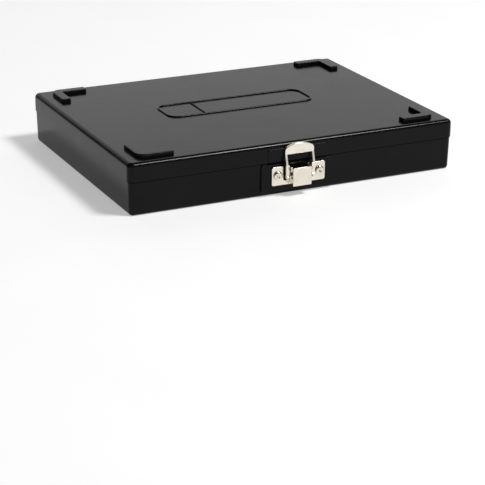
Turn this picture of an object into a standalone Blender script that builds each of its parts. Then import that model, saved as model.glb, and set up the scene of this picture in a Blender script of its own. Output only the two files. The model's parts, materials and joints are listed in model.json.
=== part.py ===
"""Quarter-inch socket wrench set in a shallow moulded case with a plated draw latch.

Row frame: X along the case's width, -Y out of the latched front, +Z up.
The origin is the centre of the case's underside.
"""

import math

import bmesh
import bpy
from mathutils import Matrix, Vector

MM = 0.001
GAP = 0.3 * MM

# Case shells
CASE_WIDTH = 210 * MM
CASE_DEPTH = 158 * MM
CASE_HEIGHT = 31.1 * MM
PARTING_HEIGHT = 19.85 * MM
CORNER_RADIUS = 3.6 * MM
LID_WALL = 2.0 * MM
LID_ROOF = 2.2 * MM
LID_OVERHANG = 0.5 * MM
BASE_FLOOR = 2.4 * MM
BASE_DRAFT = math.tan(math.radians(1.3))
EDGE_FILLET = 1.8 * MM
LID_FILLET = 2.8 * MM
TONGUE_HEIGHT = 2.0 * MM
TONGUE_WIDTH = 0.8 * MM

# Lid top
RIB_HEIGHT = 2.15 * MM
RIB_WIDTH = 5.8 * MM
RIB_LENGTH = 22 * MM
RIB_EDGE_X = 8.7 * MM
RIB_EDGE_Y = 7.2 * MM
RIB_CORNER = 5.4 * MM
LABEL_LENGTH = 98 * MM
LABEL_DEPTH = 27 * MM
LABEL_BACK_SHIFT = 5 * MM
LABEL_LINE = 1.4 * MM
LABEL_RISE = 0.8 * MM
LABEL_DIVIDER = 24 * MM

# Hinge at the back
HINGE_OFFSET = 3.0 * MM
KNUCKLE_RADIUS = 2.6 * MM
KNUCKLE_LENGTH = 9 * MM
HINGE_PIN_RADIUS = 1.1 * MM
HINGE_SPACING = 124 * MM

# Draw latch on the front
PAD_RISE = 0.5 * MM
SHEET = 0.8 * MM
PLATE_WIDTH = 34.4 * MM
PLATE_LOW = 6.3 * MM
PLATE_HIGH = 17.6 * MM
TONGUE_HALF = 7.0 * MM
SLOT_HALF = 9.9 * MM
NOTCH_LOW = 14.2 * MM
RIVET_SPACING = 27.0 * MM
RIVET_HEIGHT = 12.4 * MM
RIVET_RADIUS = 2.7 * MM
LEVER_HALF = 6.0 * MM
LEVER_LOW = 6.1 * MM
LEVER_HIGH = 17.2 * MM
LEVER_OUT = 6.8 * MM
CHEEK_SHEET = 0.6 * MM
LEVER_PIVOT = (4.9 * MM, 16.2 * MM)
LINK_PIVOT = (3.6 * MM, 11.7 * MM)
LATCH_PIN_RADIUS = 0.75 * MM
LINK_HALF = 9.3 * MM
LINK_SHOULDER = 28.5 * MM
LINK_APEX = 31.0 * MM
LINK_HOOD_LOW = 24.6 * MM
LINK_OUT = 2.7 * MM
LINK_SHEET = 0.7 * MM
PLATE_BACK = PAD_RISE + GAP
STRIKE_RIVETS = 7.4 * MM
STRIKE_HEIGHT = 26.6 * MM
STRIKE_SHEET = 0.9 * MM
STRIKE_HALF = 7.7 * MM
STRIKE_HEAD = 1.2 * MM
STRIKE_SEAT = 0.55 * MM

# Tool insert and quarter-inch drive
TRAY_TOP = 17.7 * MM
WELL_FLOOR = 3.3 * MM
DRIVE = 6.35 * MM
DRIVE_LENGTH = 7.5 * MM
DRIVE_SOCKET = 6.6 * MM
SOCKET_LENGTH = 24.6 * MM
SOCKET_ROW = 61 * MM
SOCKET_SIZES = (5, 6, 7, 8, 9, 10, 11, 12, 13, 14)
BIT_ACROSS = 6.35 * MM
BIT_LENGTH = 24.6 * MM

# Ratchet, with its head's axis at RATCHET_HEAD
RATCHET_HEAD = Vector((-82 * MM, 33 * MM, 0))
RATCHET_LENGTH = 140 * MM
HEAD_RADIUS = 12.4 * MM
HEAD_LOW = 11.5 * MM
HEAD_HIGH = 20.7 * MM
COVER_THICK = 1.4 * MM
GEAR_TEETH = 24
GEAR_TIP = 8.5 * MM
GEAR_ROOT = 7.4 * MM
PAWL_PIVOT = 11.8 * MM
PAWL_ROCK = math.radians(5.5)
PAWL_REACH = 7.93 * MM
PAWL_ANGLE = math.radians(37.5)

# Other tools, each with the middle of its length or its pivot
LONG_BAR = Vector((-46 * MM, 5 * MM, 10 * MM))
SHORT_BAR = Vector((63 * MM, 5 * MM, 10 * MM))
TEE_BAR = Vector((-38 * MM, -17.5 * MM, 13 * MM))
TEE_LENGTH = 115 * MM
TEE_TRAVEL = 44 * MM
JOINT_CENTRE = Vector((48 * MM, -23 * MM, 10 * MM))
DRIVER = Vector((-97 * MM, -53 * MM, 15.5 * MM))
DRIVER_GRIP = 88 * MM
DRIVER_LENGTH = 152 * MM
ADAPTER = Vector((83 * MM, 33 * MM, 10 * MM))
BIT_COLUMNS = (84 * MM, 95 * MM)
BIT_FRONT = -63 * MM
BIT_STEP = 14 * MM

FRONT = -CASE_DEPTH / 2
SIDES = (("left", -1), ("right", 1))
BASE_INNER = LID_WALL + GAP + TONGUE_WIDTH
BASE_RIM = PARTING_HEIGHT - GAP / 2
LID_RIM = PARTING_HEIGHT + GAP / 2


# ---- Small tools ----------------------------------------------------------------------------

def clear_scene():
    for item in list(bpy.data.objects):
        bpy.data.objects.remove(item, do_unlink=True)


def finish(name, colour, roughness, metallic):
    """Make a Principled material for one piece."""
    material = bpy.data.materials.new(name)
    material.use_nodes = True
    shader = material.node_tree.nodes["Principled BSDF"]
    shader.inputs["Base Color"].default_value = (*colour, 1)
    shader.inputs["Roughness"].default_value = roughness
    shader.inputs["Metallic"].default_value = metallic
    return material


def black_plastic(name):
    return finish(name, (0.012, 0.012, 0.013), 0.28, 0)


def nickel(name):
    return finish(name, (0.80, 0.77, 0.71), 0.22, 1)


def chrome(name):
    return finish(name, (0.78, 0.79, 0.80), 0.15, 1)


def dark_steel(name):
    return finish(name, (0.22, 0.22, 0.23), 0.35, 1)


def insert_plastic(name):
    return finish(name, (0.05, 0.05, 0.055), 0.9, 0)


def grip_plastic(name):
    return finish(name, (0.45, 0.03, 0.025), 0.45, 0)


def new_object(name, mesh, surface, location=(0, 0, 0)):
    piece = bpy.data.objects.new(name, mesh)
    bpy.context.scene.collection.objects.link(piece)
    piece.location = location
    mesh.materials.append(surface(name))
    return piece


def solid(name, build, surface, location=(0, 0, 0), smooth=0):
    """Run build on an empty bmesh, then close it into one outward-facing object."""
    form = bmesh.new()
    build(form)
    bmesh.ops.recalc_face_normals(form, faces=form.faces)
    mesh = bpy.data.meshes.new(name)
    form.to_mesh(mesh)
    form.free()
    if smooth:
        mesh.shade_smooth()
        mesh.set_sharp_from_angle(angle=math.radians(smooth))
    return new_object(name, mesh, surface, location)


def fill_between(form, rings):
    """Bridge closed rings of equal counts in order, and cap the first and the last."""
    rows = [[form.verts.new(point) for point in ring] for ring in rings]
    count = len(rows[0])
    for low, high in zip(rows, rows[1:]):
        for i in range(count):
            j = (i + 1) % count
            form.faces.new((low[i], low[j], high[j], high[i]))
    form.faces.new(rows[0])
    form.faces.new(rows[-1])


def loft(name, rings, surface, location=(0, 0, 0), smooth=0):
    return solid(name, lambda form: fill_between(form, rings), surface, location, smooth)


def frame_for(axis):
    """Give the two cross directions and the run direction of an extrusion along axis."""
    if axis == "X":
        return Vector((0, 1, 0)), Vector((0, 0, 1)), Vector((1, 0, 0))
    if axis == "Y":
        return Vector((1, 0, 0)), Vector((0, 0, 1)), Vector((0, 1, 0))
    return Vector((1, 0, 0)), Vector((0, 1, 0)), Vector((0, 0, 1))


def lift(outline, axis, at):
    """Set a flat outline across an axis, at a distance along it."""
    across, up, along = frame_for(axis)
    return [across * u + up * v + along * at for u, v in outline]


def prism(name, outline, low, high, surface, axis="Z", location=(0, 0, 0), smooth=0):
    rings = [lift(outline, axis, low), lift(outline, axis, high)]
    return loft(name, rings, surface, location, smooth)


def stack(name, sections, surface, axis="Z", location=(0, 0, 0), smooth=0):
    """Loft through (outline, distance) pairs along an axis."""
    rings = [lift(outline, axis, at) for outline, at in sections]
    return loft(name, rings, surface, location, smooth)


def circle(radius, sides=16, centre=(0, 0), turn=0.0):
    steps = [turn + math.tau * i / sides for i in range(sides)]
    return [(centre[0] + radius * math.cos(a), centre[1] + radius * math.sin(a)) for a in steps]


def hexagon(across, centre=(0, 0)):
    return circle(across / math.sqrt(3), 6, centre, math.pi / 6)


def square(side, centre=(0, 0)):
    return circle(side / math.sqrt(2), 4, centre, math.pi / 4)


def rectangle(left, right, low, high):
    return [(left, low), (right, low), (right, high), (left, high)]


def arc(centre, radius, start, stop, steps):
    """Points on a circle from start to stop degrees, both ends included."""
    angles = [math.radians(start + (stop - start) * i / steps) for i in range(steps + 1)]
    return [(centre[0] + radius * math.cos(a), centre[1] + radius * math.sin(a)) for a in angles]


def rounded(left, right, low, high, radius, steps=3):
    """A rectangle with arcs for corners, anticlockwise from its lower right."""
    corners = ((right, low, -90), (right, high, 0), (left, high, 90), (left, low, 180))
    outline = []
    for x, y, start in corners:
        middle = (x - math.copysign(radius, x - left - 1e-9), y - math.copysign(radius, y - low - 1e-9))
        outline += arc(middle, radius, start, start + 90, steps)
    return outline


def turned(name, profile, surface, axis="Z", location=(0, 0, 0), sides=18):
    """Turn (radius, distance) pairs about an axis, solid from end to end."""
    sections = [(circle(radius, sides), at) for radius, at in profile]
    return stack(name, sections, surface, axis, location, smooth=35)


def merge(piece, tool, operation):
    """Apply one exact Boolean to piece and remove the tool."""
    modifier = piece.modifiers.new(operation.title(), "BOOLEAN")
    modifier.operation = operation
    modifier.solver = "EXACT"
    modifier.object = tool
    bpy.context.view_layer.update()
    graph = bpy.context.evaluated_depsgraph_get()
    result = bpy.data.meshes.new_from_object(piece.evaluated_get(graph))
    piece.modifiers.clear()
    old = piece.data
    surfaces = [slot for slot in old.materials][:1]
    piece.data = result
    result.materials.clear()
    for surface in surfaces:
        result.materials.append(surface)
    result.polygons.foreach_set("material_index", [0] * len(result.polygons))
    bpy.data.meshes.remove(old)
    bpy.data.objects.remove(tool, do_unlink=True)


def cut(piece, *tools):
    for tool in tools:
        merge(piece, tool, "DIFFERENCE")


def add(piece, *tools):
    for tool in tools:
        merge(piece, tool, "UNION")


def plain(name):
    return finish(name, (0.5, 0.5, 0.5), 0.5, 0)


def cutter(outline, low, high, axis="Z", location=(0, 0, 0)):
    return prism("cutter", outline, low, high, plain, axis, location)


def round_cutter(radius, low, high, axis="Z", location=(0, 0, 0), sides=16):
    return cutter(circle(radius, sides), low, high, axis, location)


# ---- Case shells ----------------------------------------------------------------------------

def case_ring(inset, height):
    """One level ring of the case's outline, drawn in by inset."""
    half_x = CASE_WIDTH / 2 - inset
    half_y = CASE_DEPTH / 2 - inset
    radius = max(CORNER_RADIUS - inset, 0.8 * MM)
    outline = rounded(-half_x, half_x, -half_y, half_y, radius)
    return [Vector((x, y, height)) for x, y in outline]


def base_inset(height):
    return LID_OVERHANG + (BASE_RIM - height) * BASE_DRAFT


def fillet_rings(inset, edge, direction, radius, steps=3):
    """Rings round an outside edge, from the flat face out to the wall."""
    rings = []
    for i in range(steps + 1):
        a = math.radians(90 * i / steps)
        drawn_in = inset + radius * (1 - math.sin(a))
        rings.append(case_ring(drawn_in, edge + direction * radius * (1 - math.cos(a))))
    return rings


def pad(half_low, half_high, low, high):
    """A shallow raised panel on the front wall, with sloping edges."""
    slope = 0.8 * MM
    back = rectangle(-half_low, half_high, low, high)
    front = rectangle(-half_low + slope, half_high - slope, low + slope, high - slope)
    sections = [(front, FRONT - PAD_RISE), (back, FRONT + 0.2 * MM), (back, FRONT + 1.2 * MM)]
    return stack("pad", sections, plain, "Y")


def knuckle(x, side):
    """A hinge barrel with its web, on the base (side -1) or on the lid (side +1)."""
    hinge_y = CASE_DEPTH / 2 + HINGE_OFFSET
    start = x - KNUCKLE_LENGTH / 2
    axis_point = (hinge_y, PARTING_HEIGHT)
    barrel = turned("barrel", [(KNUCKLE_RADIUS, start), (KNUCKLE_RADIUS, start + KNUCKLE_LENGTH)], plain,
                    "X", (0, *axis_point), 14)
    inside = CASE_DEPTH / 2 - 1.2 * MM
    near = PARTING_HEIGHT + side * 0.35 * MM
    far = PARTING_HEIGHT + side * 6 * MM
    web = [(inside, near), (hinge_y, near), (hinge_y + KNUCKLE_RADIUS * 0.8, PARTING_HEIGHT + side * 1.6 * MM),
           (inside + 1.5 * MM, far), (inside, far)]
    if side < 0:
        web.reverse()
    add(barrel, cutter(web, start, start + KNUCKLE_LENGTH, "X"))
    return barrel


def knuckle_places(side):
    """Centres along X of the base's outer barrels or the lid's middle ones."""
    pitch = KNUCKLE_LENGTH + GAP
    offsets = (-pitch, pitch) if side < 0 else (0,)
    return [middle + offset for middle in (-HINGE_SPACING / 2, HINGE_SPACING / 2) for offset in offsets]


def hinge_bores(piece):
    reach = 2 * KNUCKLE_LENGTH
    for x in (-HINGE_SPACING / 2, HINGE_SPACING / 2):
        place = (x, CASE_DEPTH / 2 + HINGE_OFFSET, PARTING_HEIGHT)
        cut(piece, round_cutter(HINGE_PIN_RADIUS + GAP, -reach, reach, "X", place, 12))


def rivet_holes(piece, spacing, height):
    for x in (-spacing / 2, spacing / 2):
        cut(piece, round_cutter(1.25 * MM, -2 * MM, 6 * MM, "Y", (x, FRONT, height), 16))


def make_base():
    rings = fillet_rings(base_inset(0), 0, 1, EDGE_FILLET)
    rings.append(case_ring(LID_OVERHANG, BASE_RIM))
    tongue_outside = LID_WALL + GAP
    rings.append(case_ring(tongue_outside, BASE_RIM))
    rings.append(case_ring(tongue_outside, BASE_RIM + TONGUE_HEIGHT))
    rings.append(case_ring(BASE_INNER, BASE_RIM + TONGUE_HEIGHT))
    rings.append(case_ring(BASE_INNER + 0.4 * MM, BASE_FLOOR))
    base = loft("case_base", rings, black_plastic, smooth=35)
    add(base, pad(23.5 * MM, 23.5 * MM, 2.4 * MM, 19.4 * MM))
    for x in knuckle_places(-1):
        add(base, knuckle(x, -1))
    hinge_bores(base)
    rivet_holes(base, RIVET_SPACING, RIVET_HEIGHT)
    return base


def corner_rib(sign_x, sign_y):
    """An L-shaped stacking rib with a rounded outside corner."""
    outer_x = CASE_WIDTH / 2 - RIB_EDGE_X
    outer_y = CASE_DEPTH / 2 - RIB_EDGE_Y

    def outline(draw_in):
        x_out = outer_x - draw_in
        y_out = outer_y - draw_in
        x_end = outer_x - RIB_LENGTH + draw_in
        y_end = outer_y - RIB_LENGTH + draw_in
        x_in = outer_x - RIB_WIDTH + draw_in
        y_in = outer_y - RIB_WIDTH + draw_in
        radius = RIB_CORNER - draw_in
        corner = arc((x_out - radius, y_out - radius), radius, 0, 90, 5)
        points = [(x_in, y_end), (x_out, y_end), *corner, (x_end, y_out), (x_end, y_in), (x_in, y_in)]
        return [(sign_x * x, sign_y * y) for x, y in points]

    sections = [(outline(0), CASE_HEIGHT - 0.6 * MM), (outline(0), CASE_HEIGHT + RIB_HEIGHT - 0.5 * MM),
                (outline(0.5 * MM), CASE_HEIGHT + RIB_HEIGHT)]
    return stack("rib", sections, plain)


def label_frame():
    """The raised line round the label field, with its divider."""
    half_x = LABEL_LENGTH / 2
    low = LABEL_BACK_SHIFT - LABEL_DEPTH / 2
    high = LABEL_BACK_SHIFT + LABEL_DEPTH / 2
    floor = CASE_HEIGHT - 0.5 * MM
    top = CASE_HEIGHT + LABEL_RISE
    line = prism("line", rounded(-half_x, half_x, low, high, 7 * MM, 4), floor, top, plain)
    inside_x = half_x - LABEL_LINE
    inner = rounded(-inside_x, inside_x, low + LABEL_LINE, high - LABEL_LINE, 5.9 * MM, 4)
    cut(line, cutter(inner, floor - MM, top + MM))
    divider = -half_x + LABEL_DIVIDER
    half_line = LABEL_LINE / 2
    bar = rectangle(divider - half_line, divider + half_line, low + half_line, high - half_line)
    add(line, cutter(bar, floor, top))
    return line


def make_lid():
    rings = fillet_rings(0, CASE_HEIGHT, -1, LID_FILLET)
    rings.append(case_ring(0, LID_RIM))
    rings.append(case_ring(LID_WALL, LID_RIM))
    rings.append(case_ring(LID_WALL, CASE_HEIGHT - LID_ROOF - 1.2 * MM))
    rings.append(case_ring(LID_WALL + 1.2 * MM, CASE_HEIGHT - LID_ROOF))
    lid = loft("case_lid", rings, black_plastic, smooth=35)
    for sign_x in (-1, 1):
        for sign_y in (-1, 1):
            add(lid, corner_rib(sign_x, sign_y))
    add(lid, label_frame())
    add(lid, pad(19.5 * MM, 19.5 * MM, LID_RIM, 27.9 * MM))
    for x in knuckle_places(1):
        add(lid, knuckle(x, 1))
    hinge_bores(lid)
    rivet_holes(lid, STRIKE_RIVETS, STRIKE_HEIGHT)
    return lid


def make_hinge_pins():
    reach = 1.5 * KNUCKLE_LENGTH + GAP
    profile = [(HINGE_PIN_RADIUS * 0.7, -reach), (HINGE_PIN_RADIUS, -reach + 0.4 * MM),
               (HINGE_PIN_RADIUS, reach - 0.4 * MM), (HINGE_PIN_RADIUS * 0.7, reach)]
    for side, sign in SIDES:
        place = (sign * HINGE_SPACING / 2, CASE_DEPTH / 2 + HINGE_OFFSET, PARTING_HEIGHT)
        turned("hinge_pin_" + side, profile, dark_steel, "X", place, 16)


# ---- Draw latch -----------------------------------------------------------------------------

def make_rivets(name, spacing, height, head_radius, dome, head_out, clinch_radius):
    """Two rivets with low domed heads through the front wall, clinched inside."""
    inner = BASE_INNER + 0.5 * MM if height < PARTING_HEIGHT else LID_WALL + GAP
    profile = [(clinch_radius - 0.4 * MM, inner + 0.5 * MM), (clinch_radius, inner + 0.3 * MM),
               (clinch_radius, inner), (0.9 * MM, inner), (0.9 * MM, -head_out), (head_radius, -head_out)]
    for angle in (30, 55, 75):
        a = math.radians(angle)
        profile.append((head_radius * math.cos(a), -head_out - dome * math.sin(a)))
    for side, sign in SIDES:
        turned(f"{name}_{side}", profile, nickel, "Y", (sign * spacing / 2, FRONT, height), 12)


def make_latch_plate():
    """The riveted plate: two ears, two slots, and a notched tongue that carries the pivot cheeks."""
    half = PLATE_WIDTH / 2
    back = -PLATE_BACK
    front = -PLATE_BACK - SHEET
    outline = rounded(-half, half, PLATE_LOW, PLATE_HIGH, 1.3 * MM, 3)
    edge = 0.25 * MM
    eased = rounded(-half + edge, half - edge, PLATE_LOW + edge, PLATE_HIGH - edge, 1.1 * MM, 3)
    place = (0, FRONT, 0)
    sections = [(eased, front), (outline, front + edge), (outline, back)]
    plate = stack("latch_plate", sections, nickel, "Y", place)
    for side in (-1, 1):
        middle = side * (TONGUE_HALF + SLOT_HALF) / 2
        half_slot = (SLOT_HALF - TONGUE_HALF) / 2
        low = PLATE_LOW + 2.6 * MM
        slot = rounded(middle - half_slot, middle + half_slot, low, PLATE_HIGH + 3 * MM, half_slot * 0.98, 3)
        cut(plate, cutter(slot, -4 * MM, 0, "Y", place))
        seat = (side * RIVET_SPACING / 2, FRONT, RIVET_HEIGHT)
        cut(plate, round_cutter(1.2 * MM, -4 * MM, 0, "Y", seat, 16))
        add(plate, pivot_cheek(side))
    notch = LEVER_HALF - GAP
    cut(plate, cutter(rectangle(-notch, notch, NOTCH_LOW, PLATE_HIGH + MM), -4 * MM, 0, "Y", place))
    return plate


def pivot_cheek(side):
    """A tab bent out of the plate, with a round end that carries the lever's pin."""
    out, height = LEVER_PIVOT
    radius = 1.7 * MM
    start = -PLATE_BACK - SHEET / 2
    outline = [(start, height - radius)] + arc((-out, height), radius, -90, -270, 6) + [(start, height + radius)]
    near = LEVER_HALF + GAP
    far = near + CHEEK_SHEET
    span = (near, far) if side > 0 else (-far, -near)
    cheek = prism("cheek", outline, *span, plain, "X", (0, FRONT, 0))
    pivot = (0, FRONT - out, height)
    cut(cheek, round_cutter(LATCH_PIN_RADIUS + 0.2 * MM, -12 * MM, 12 * MM, "X", pivot, 16))
    return cheek


def make_latch_pin(name, pivot, reach):
    """A straight pin with eased ends, held by the holes that it fills."""
    out, height = pivot
    ease = 0.15 * MM
    profile = [(LATCH_PIN_RADIUS - ease, -reach), (LATCH_PIN_RADIUS, -reach + ease),
               (LATCH_PIN_RADIUS, reach - ease), (LATCH_PIN_RADIUS - ease, reach)]
    return turned(name, profile, nickel, "X", (0, FRONT - out, height), 16)


def make_lever():
    """The pull lever: a channel of sheet, open at both ends, with its top edge rounded back."""
    out, height = LEVER_PIVOT
    origin = (0, FRONT - out, height)
    back = 2.8 * MM
    face = -(LEVER_OUT - out)
    low = LEVER_LOW - height
    high = LEVER_HIGH - height
    rear = out - back
    bend = 1.1 * MM
    side_view = [(rear, low + 1.4 * MM), (rear - 1.2 * MM, low), (face, low), (face, high - bend)]
    side_view += arc((face + bend, high - bend), bend, 180, 90, 4)[1:]
    side_view += [(rear - 1.2 * MM, high), (rear, high - 1.2 * MM)]
    lever = prism("latch_lever", side_view, -LEVER_HALF, LEVER_HALF, nickel, "X", origin)
    inner = LEVER_HALF - SHEET
    hollow = rectangle(face + SHEET, rear + MM, low - MM, high + MM)
    cut(lever, cutter(hollow, -inner, inner, "X", origin))
    for pivot in (LEVER_PIVOT, LINK_PIVOT):
        place = (0, FRONT - pivot[0], pivot[1])
        cut(lever, round_cutter(LATCH_PIN_RADIUS + 0.2 * MM, -12 * MM, 12 * MM, "X", place, 16))
    return lever


def hood_outline(draw_in, low):
    """The link head's front view: straight sides under an arched top."""
    half = LINK_HALF - draw_in
    shoulder = LINK_SHOULDER - draw_in * 0.7
    apex = LINK_APEX - draw_in
    rise = apex - shoulder
    radius = (half * half + rise * rise) / (2 * rise)
    spread = math.degrees(math.asin(half / radius))
    return [(-half, low), (half, low)] + arc((0, apex - radius), radius, 90 - spread, 90 + spread, 10)


def link_leg(side):
    """One strap of the link: it slants out from the head, then runs down beside the lever to its eye."""
    out, height = LINK_PIVOT
    half = 0.5 * MM
    eye = 1.3 * MM
    top = LINK_HOOD_LOW + 0.8 * MM
    knee = 18.6 * MM
    lap = 0.5 * MM
    head_middle = 1.9 * MM
    leg_middle = 3.8 * MM
    upper = [(-head_middle - half, top), (-leg_middle - half, knee), (-leg_middle - half, knee - lap),
             (-leg_middle + half, knee - lap), (-leg_middle + half, knee), (-head_middle + half, top)]
    round_end = arc((-out, height), eye, 150, 390, 10)
    lower = [(-leg_middle - half, knee), (-leg_middle - half, height + 1.4 * MM), *round_end,
             (-leg_middle + half, height + 1.4 * MM), (-leg_middle + half, knee)]
    leg = prism("leg", lower, *leg_span(side, 2.1 * MM), plain, "X", (0, FRONT, 0))
    add(leg, cutter(upper, *leg_span(side, 1.3 * MM), "X", (0, FRONT, 0)))
    return leg


def leg_span(side, width):
    """Where a strap of the given width lies along X, measured in from the link's edge."""
    near = LINK_HALF - width
    return (near, LINK_HALF) if side > 0 else (-LINK_HALF, -near)


def make_link():
    """The catch link: an arched hood with a rim that draws over the strike, and two straps."""
    out, height = LINK_PIVOT
    origin = Vector((0, FRONT - out, height))
    rim_back = 1.1 * MM
    ease = 0.45 * MM
    outline = hood_outline(0, LINK_HOOD_LOW)
    eased = hood_outline(ease, LINK_HOOD_LOW)
    sections = [(eased, -LINK_OUT), (outline, -LINK_OUT + ease), (outline, -rim_back)]
    hood = stack("latch_link", sections, nickel, "Y", (0, FRONT, 0))
    inside = hood_outline(LINK_SHEET, LINK_HOOD_LOW - MM)
    cut(hood, cutter(inside, -LINK_OUT + LINK_SHEET, 0, "Y", (0, FRONT, 0)))
    for side in (-1, 1):
        add(hood, link_leg(side))
    cut(hood, round_cutter(LATCH_PIN_RADIUS + 0.2 * MM, -12 * MM, 12 * MM, "X", tuple(origin), 16))
    hood.data.transform(Matrix.Translation(Vector((0, FRONT, 0)) - origin))
    hood.location = origin
    return hood


def make_strike():
    """The keeper on the lid: an arched plate inside the link's rim, with seats for two flush rivets."""
    place = (0, FRONT, 0)
    front = -PLATE_BACK - STRIKE_SHEET
    arch = hood_outline(LINK_SHEET + GAP, LINK_HOOD_LOW + GAP)
    outside = [(max(-STRIKE_HALF, min(x, STRIKE_HALF)), z) for x, z in arch]
    strike = prism("latch_strike", outside, front, -PLATE_BACK, nickel, "Y", place)
    for _, sign in SIDES:
        seat = (sign * STRIKE_RIVETS / 2, FRONT, STRIKE_HEIGHT)
        cut(strike, round_cutter(1.2 * MM, -4 * MM, 0, "Y", seat, 12),
            round_cutter(STRIKE_HEAD + GAP, -4 * MM, front + STRIKE_SEAT, "Y", seat, 12))
    return strike


# ---- Socket parts ---------------------------------------------------------------------------

def socket_radius(size):
    """Outside radius of a socket for a nut of the given width in millimetres."""
    return max(5.9 * MM, (size * 1.32 + 1.3) / 2 * MM)


def socket_places():
    """Spread the sockets evenly by their clear gaps along the back row."""
    widths = [2 * socket_radius(size) for size in SOCKET_SIZES]
    room = 194 * MM
    space = (room - sum(widths)) / (len(widths) - 1)
    places = []
    x = -room / 2
    for width in widths:
        places.append(x + width / 2)
        x += width + space
    return places


def make_socket(size, x):
    """A six-point socket standing on its drive end."""
    radius = socket_radius(size)
    nose = max(min(radius, (size * 1.32 + 1.3) / 2 * MM), 4.1 * MM)
    step = 12 * MM
    top = SOCKET_LENGTH
    profile = [(radius - 0.5 * MM, 0), (radius, 0.5 * MM), (radius, step - 0.6 * MM),
               (nose, step + 0.6 * MM if nose < radius else step), (nose, top - 0.6 * MM), (nose - 0.6 * MM, top)]
    name = f"socket_{size:02d}_mm"
    piece = turned(name, profile, chrome, "Z", (x, SOCKET_ROW, WELL_FLOOR + GAP))
    place = (x, SOCKET_ROW, WELL_FLOOR + GAP)
    hex_depth = 10 * MM
    across = (size + 0.15) * MM
    neck = min(across * 0.42, 2.6 * MM)
    cut(piece, cutter(hexagon(across), top - hex_depth, top + MM, "Z", place),
        cutter(square(DRIVE_SOCKET), -MM, 8.2 * MM, "Z", place),
        round_cutter(neck, 5 * MM, top - 5 * MM, "Z", place, 16))
    return piece


def drive_plug(start, length, direction=1):
    """Sections of a male square that grows from start, with a chamfered end."""
    end = start + direction * length
    return [(square(DRIVE), start), (square(DRIVE), end - direction * 0.7 * MM), (square(DRIVE - 1.2 * MM), end)]


def make_ball(name, place, surface=dark_steel, radius=1.0 * MM):
    """A small detent ball."""
    def build(form):
        bmesh.ops.create_uvsphere(form, u_segments=8, v_segments=6, radius=radius)

    return solid(name, build, surface, place, smooth=60)


def ball_pocket(piece, place, axis):
    cut(piece, round_cutter(1.3 * MM, -1.4 * MM, 3 * MM, axis, place, 14))


# ---- Ratchet --------------------------------------------------------------------------------

def neck_outline(radius):
    """The ratchet's plan: a round head and a pawl housing that runs into the handle."""
    housing = 9.2 * MM + (radius - HEAD_RADIUS)
    half_neck = 4.6 * MM
    joins = math.degrees(math.asin(housing / radius))
    head = arc((0, 0), radius, joins, 360 - joins, 14)
    far = 17.5 * MM + (radius - HEAD_RADIUS)
    end = 27 * MM
    return head + [(far, -housing + 1.5 * MM), (end, -half_neck), (end, half_neck), (far, housing - 1.5 * MM)]


def make_ratchet_body():
    """Head and shaft in one forging, open at the top for the mechanism."""
    origin = tuple(RATCHET_HEAD)
    edge = 0.9 * MM
    sections = [(neck_outline(HEAD_RADIUS - edge), HEAD_LOW), (neck_outline(HEAD_RADIUS), HEAD_LOW + edge),
                (neck_outline(HEAD_RADIUS), HEAD_HIGH - 0.4 * MM), (neck_outline(HEAD_RADIUS - 0.4 * MM), HEAD_HIGH)]
    body = stack("ratchet_body", sections, chrome, "Z", origin, smooth=35)
    mid = (HEAD_LOW + HEAD_HIGH) / 2
    shaft = [(4.4 * MM, 24 * MM), (3.9 * MM, 40 * MM),
             (3.9 * MM, RATCHET_LENGTH - 16 * MM), (3.2 * MM, RATCHET_LENGTH - 15 * MM)]
    add(body, turned("shaft", shaft, plain, "X", (RATCHET_HEAD.x, RATCHET_HEAD.y, mid), 14))
    top = HEAD_HIGH + MM
    chamber = rounded(5 * MM, 17 * MM, -7.2 * MM, 7.2 * MM, 1.6 * MM, 3)
    floor = HEAD_LOW + 2 * MM
    cut(body, round_cutter(GEAR_TIP + 0.4 * MM, floor, top, "Z", origin, 24),
        cutter(chamber, floor, top, "Z", origin),
        round_cutter(6.2 * MM, HEAD_LOW - MM, floor + MM, "Z", origin),
        round_cutter(1.5 * MM, 15 * MM, 22.6 * MM, "X", (RATCHET_HEAD.x, RATCHET_HEAD.y, mid), 14))
    for x, y in cover_screw_places():
        place = (RATCHET_HEAD.x + x, RATCHET_HEAD.y + y, 0)
        cut(body, round_cutter(1.0 * MM, HEAD_HIGH - 3.6 * MM, top, "Z", place, 12))
    return body


def cover_screw_places():
    return [(-7.6 * MM, -7.6 * MM), (-7.6 * MM, 7.6 * MM), (19.8 * MM, 0)]


def make_ratchet_cover():
    """The plate that closes the head."""
    low = HEAD_HIGH + GAP
    high = low + COVER_THICK
    radius = HEAD_RADIUS - 0.5 * MM
    origin = tuple(RATCHET_HEAD)
    outline = neck_outline(radius)
    outline = [(min(x, 22.5 * MM), y) for x, y in outline]
    sections = [(outline, low), (outline, high - 0.3 * MM), ([(x * 0.97, y * 0.97) for x, y in outline], high)]
    cover = stack("ratchet_cover", sections, chrome, "Z", origin, smooth=35)
    cut(cover, round_cutter(2.1 * MM, 0, 30 * MM, "Z", (RATCHET_HEAD.x + PAWL_PIVOT, RATCHET_HEAD.y, 0), 16))
    for x, y in cover_screw_places():
        cut(cover, round_cutter(1.0 * MM, 0, 30 * MM, "Z", (RATCHET_HEAD.x + x, RATCHET_HEAD.y + y, 0), 12))
    return cover


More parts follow.
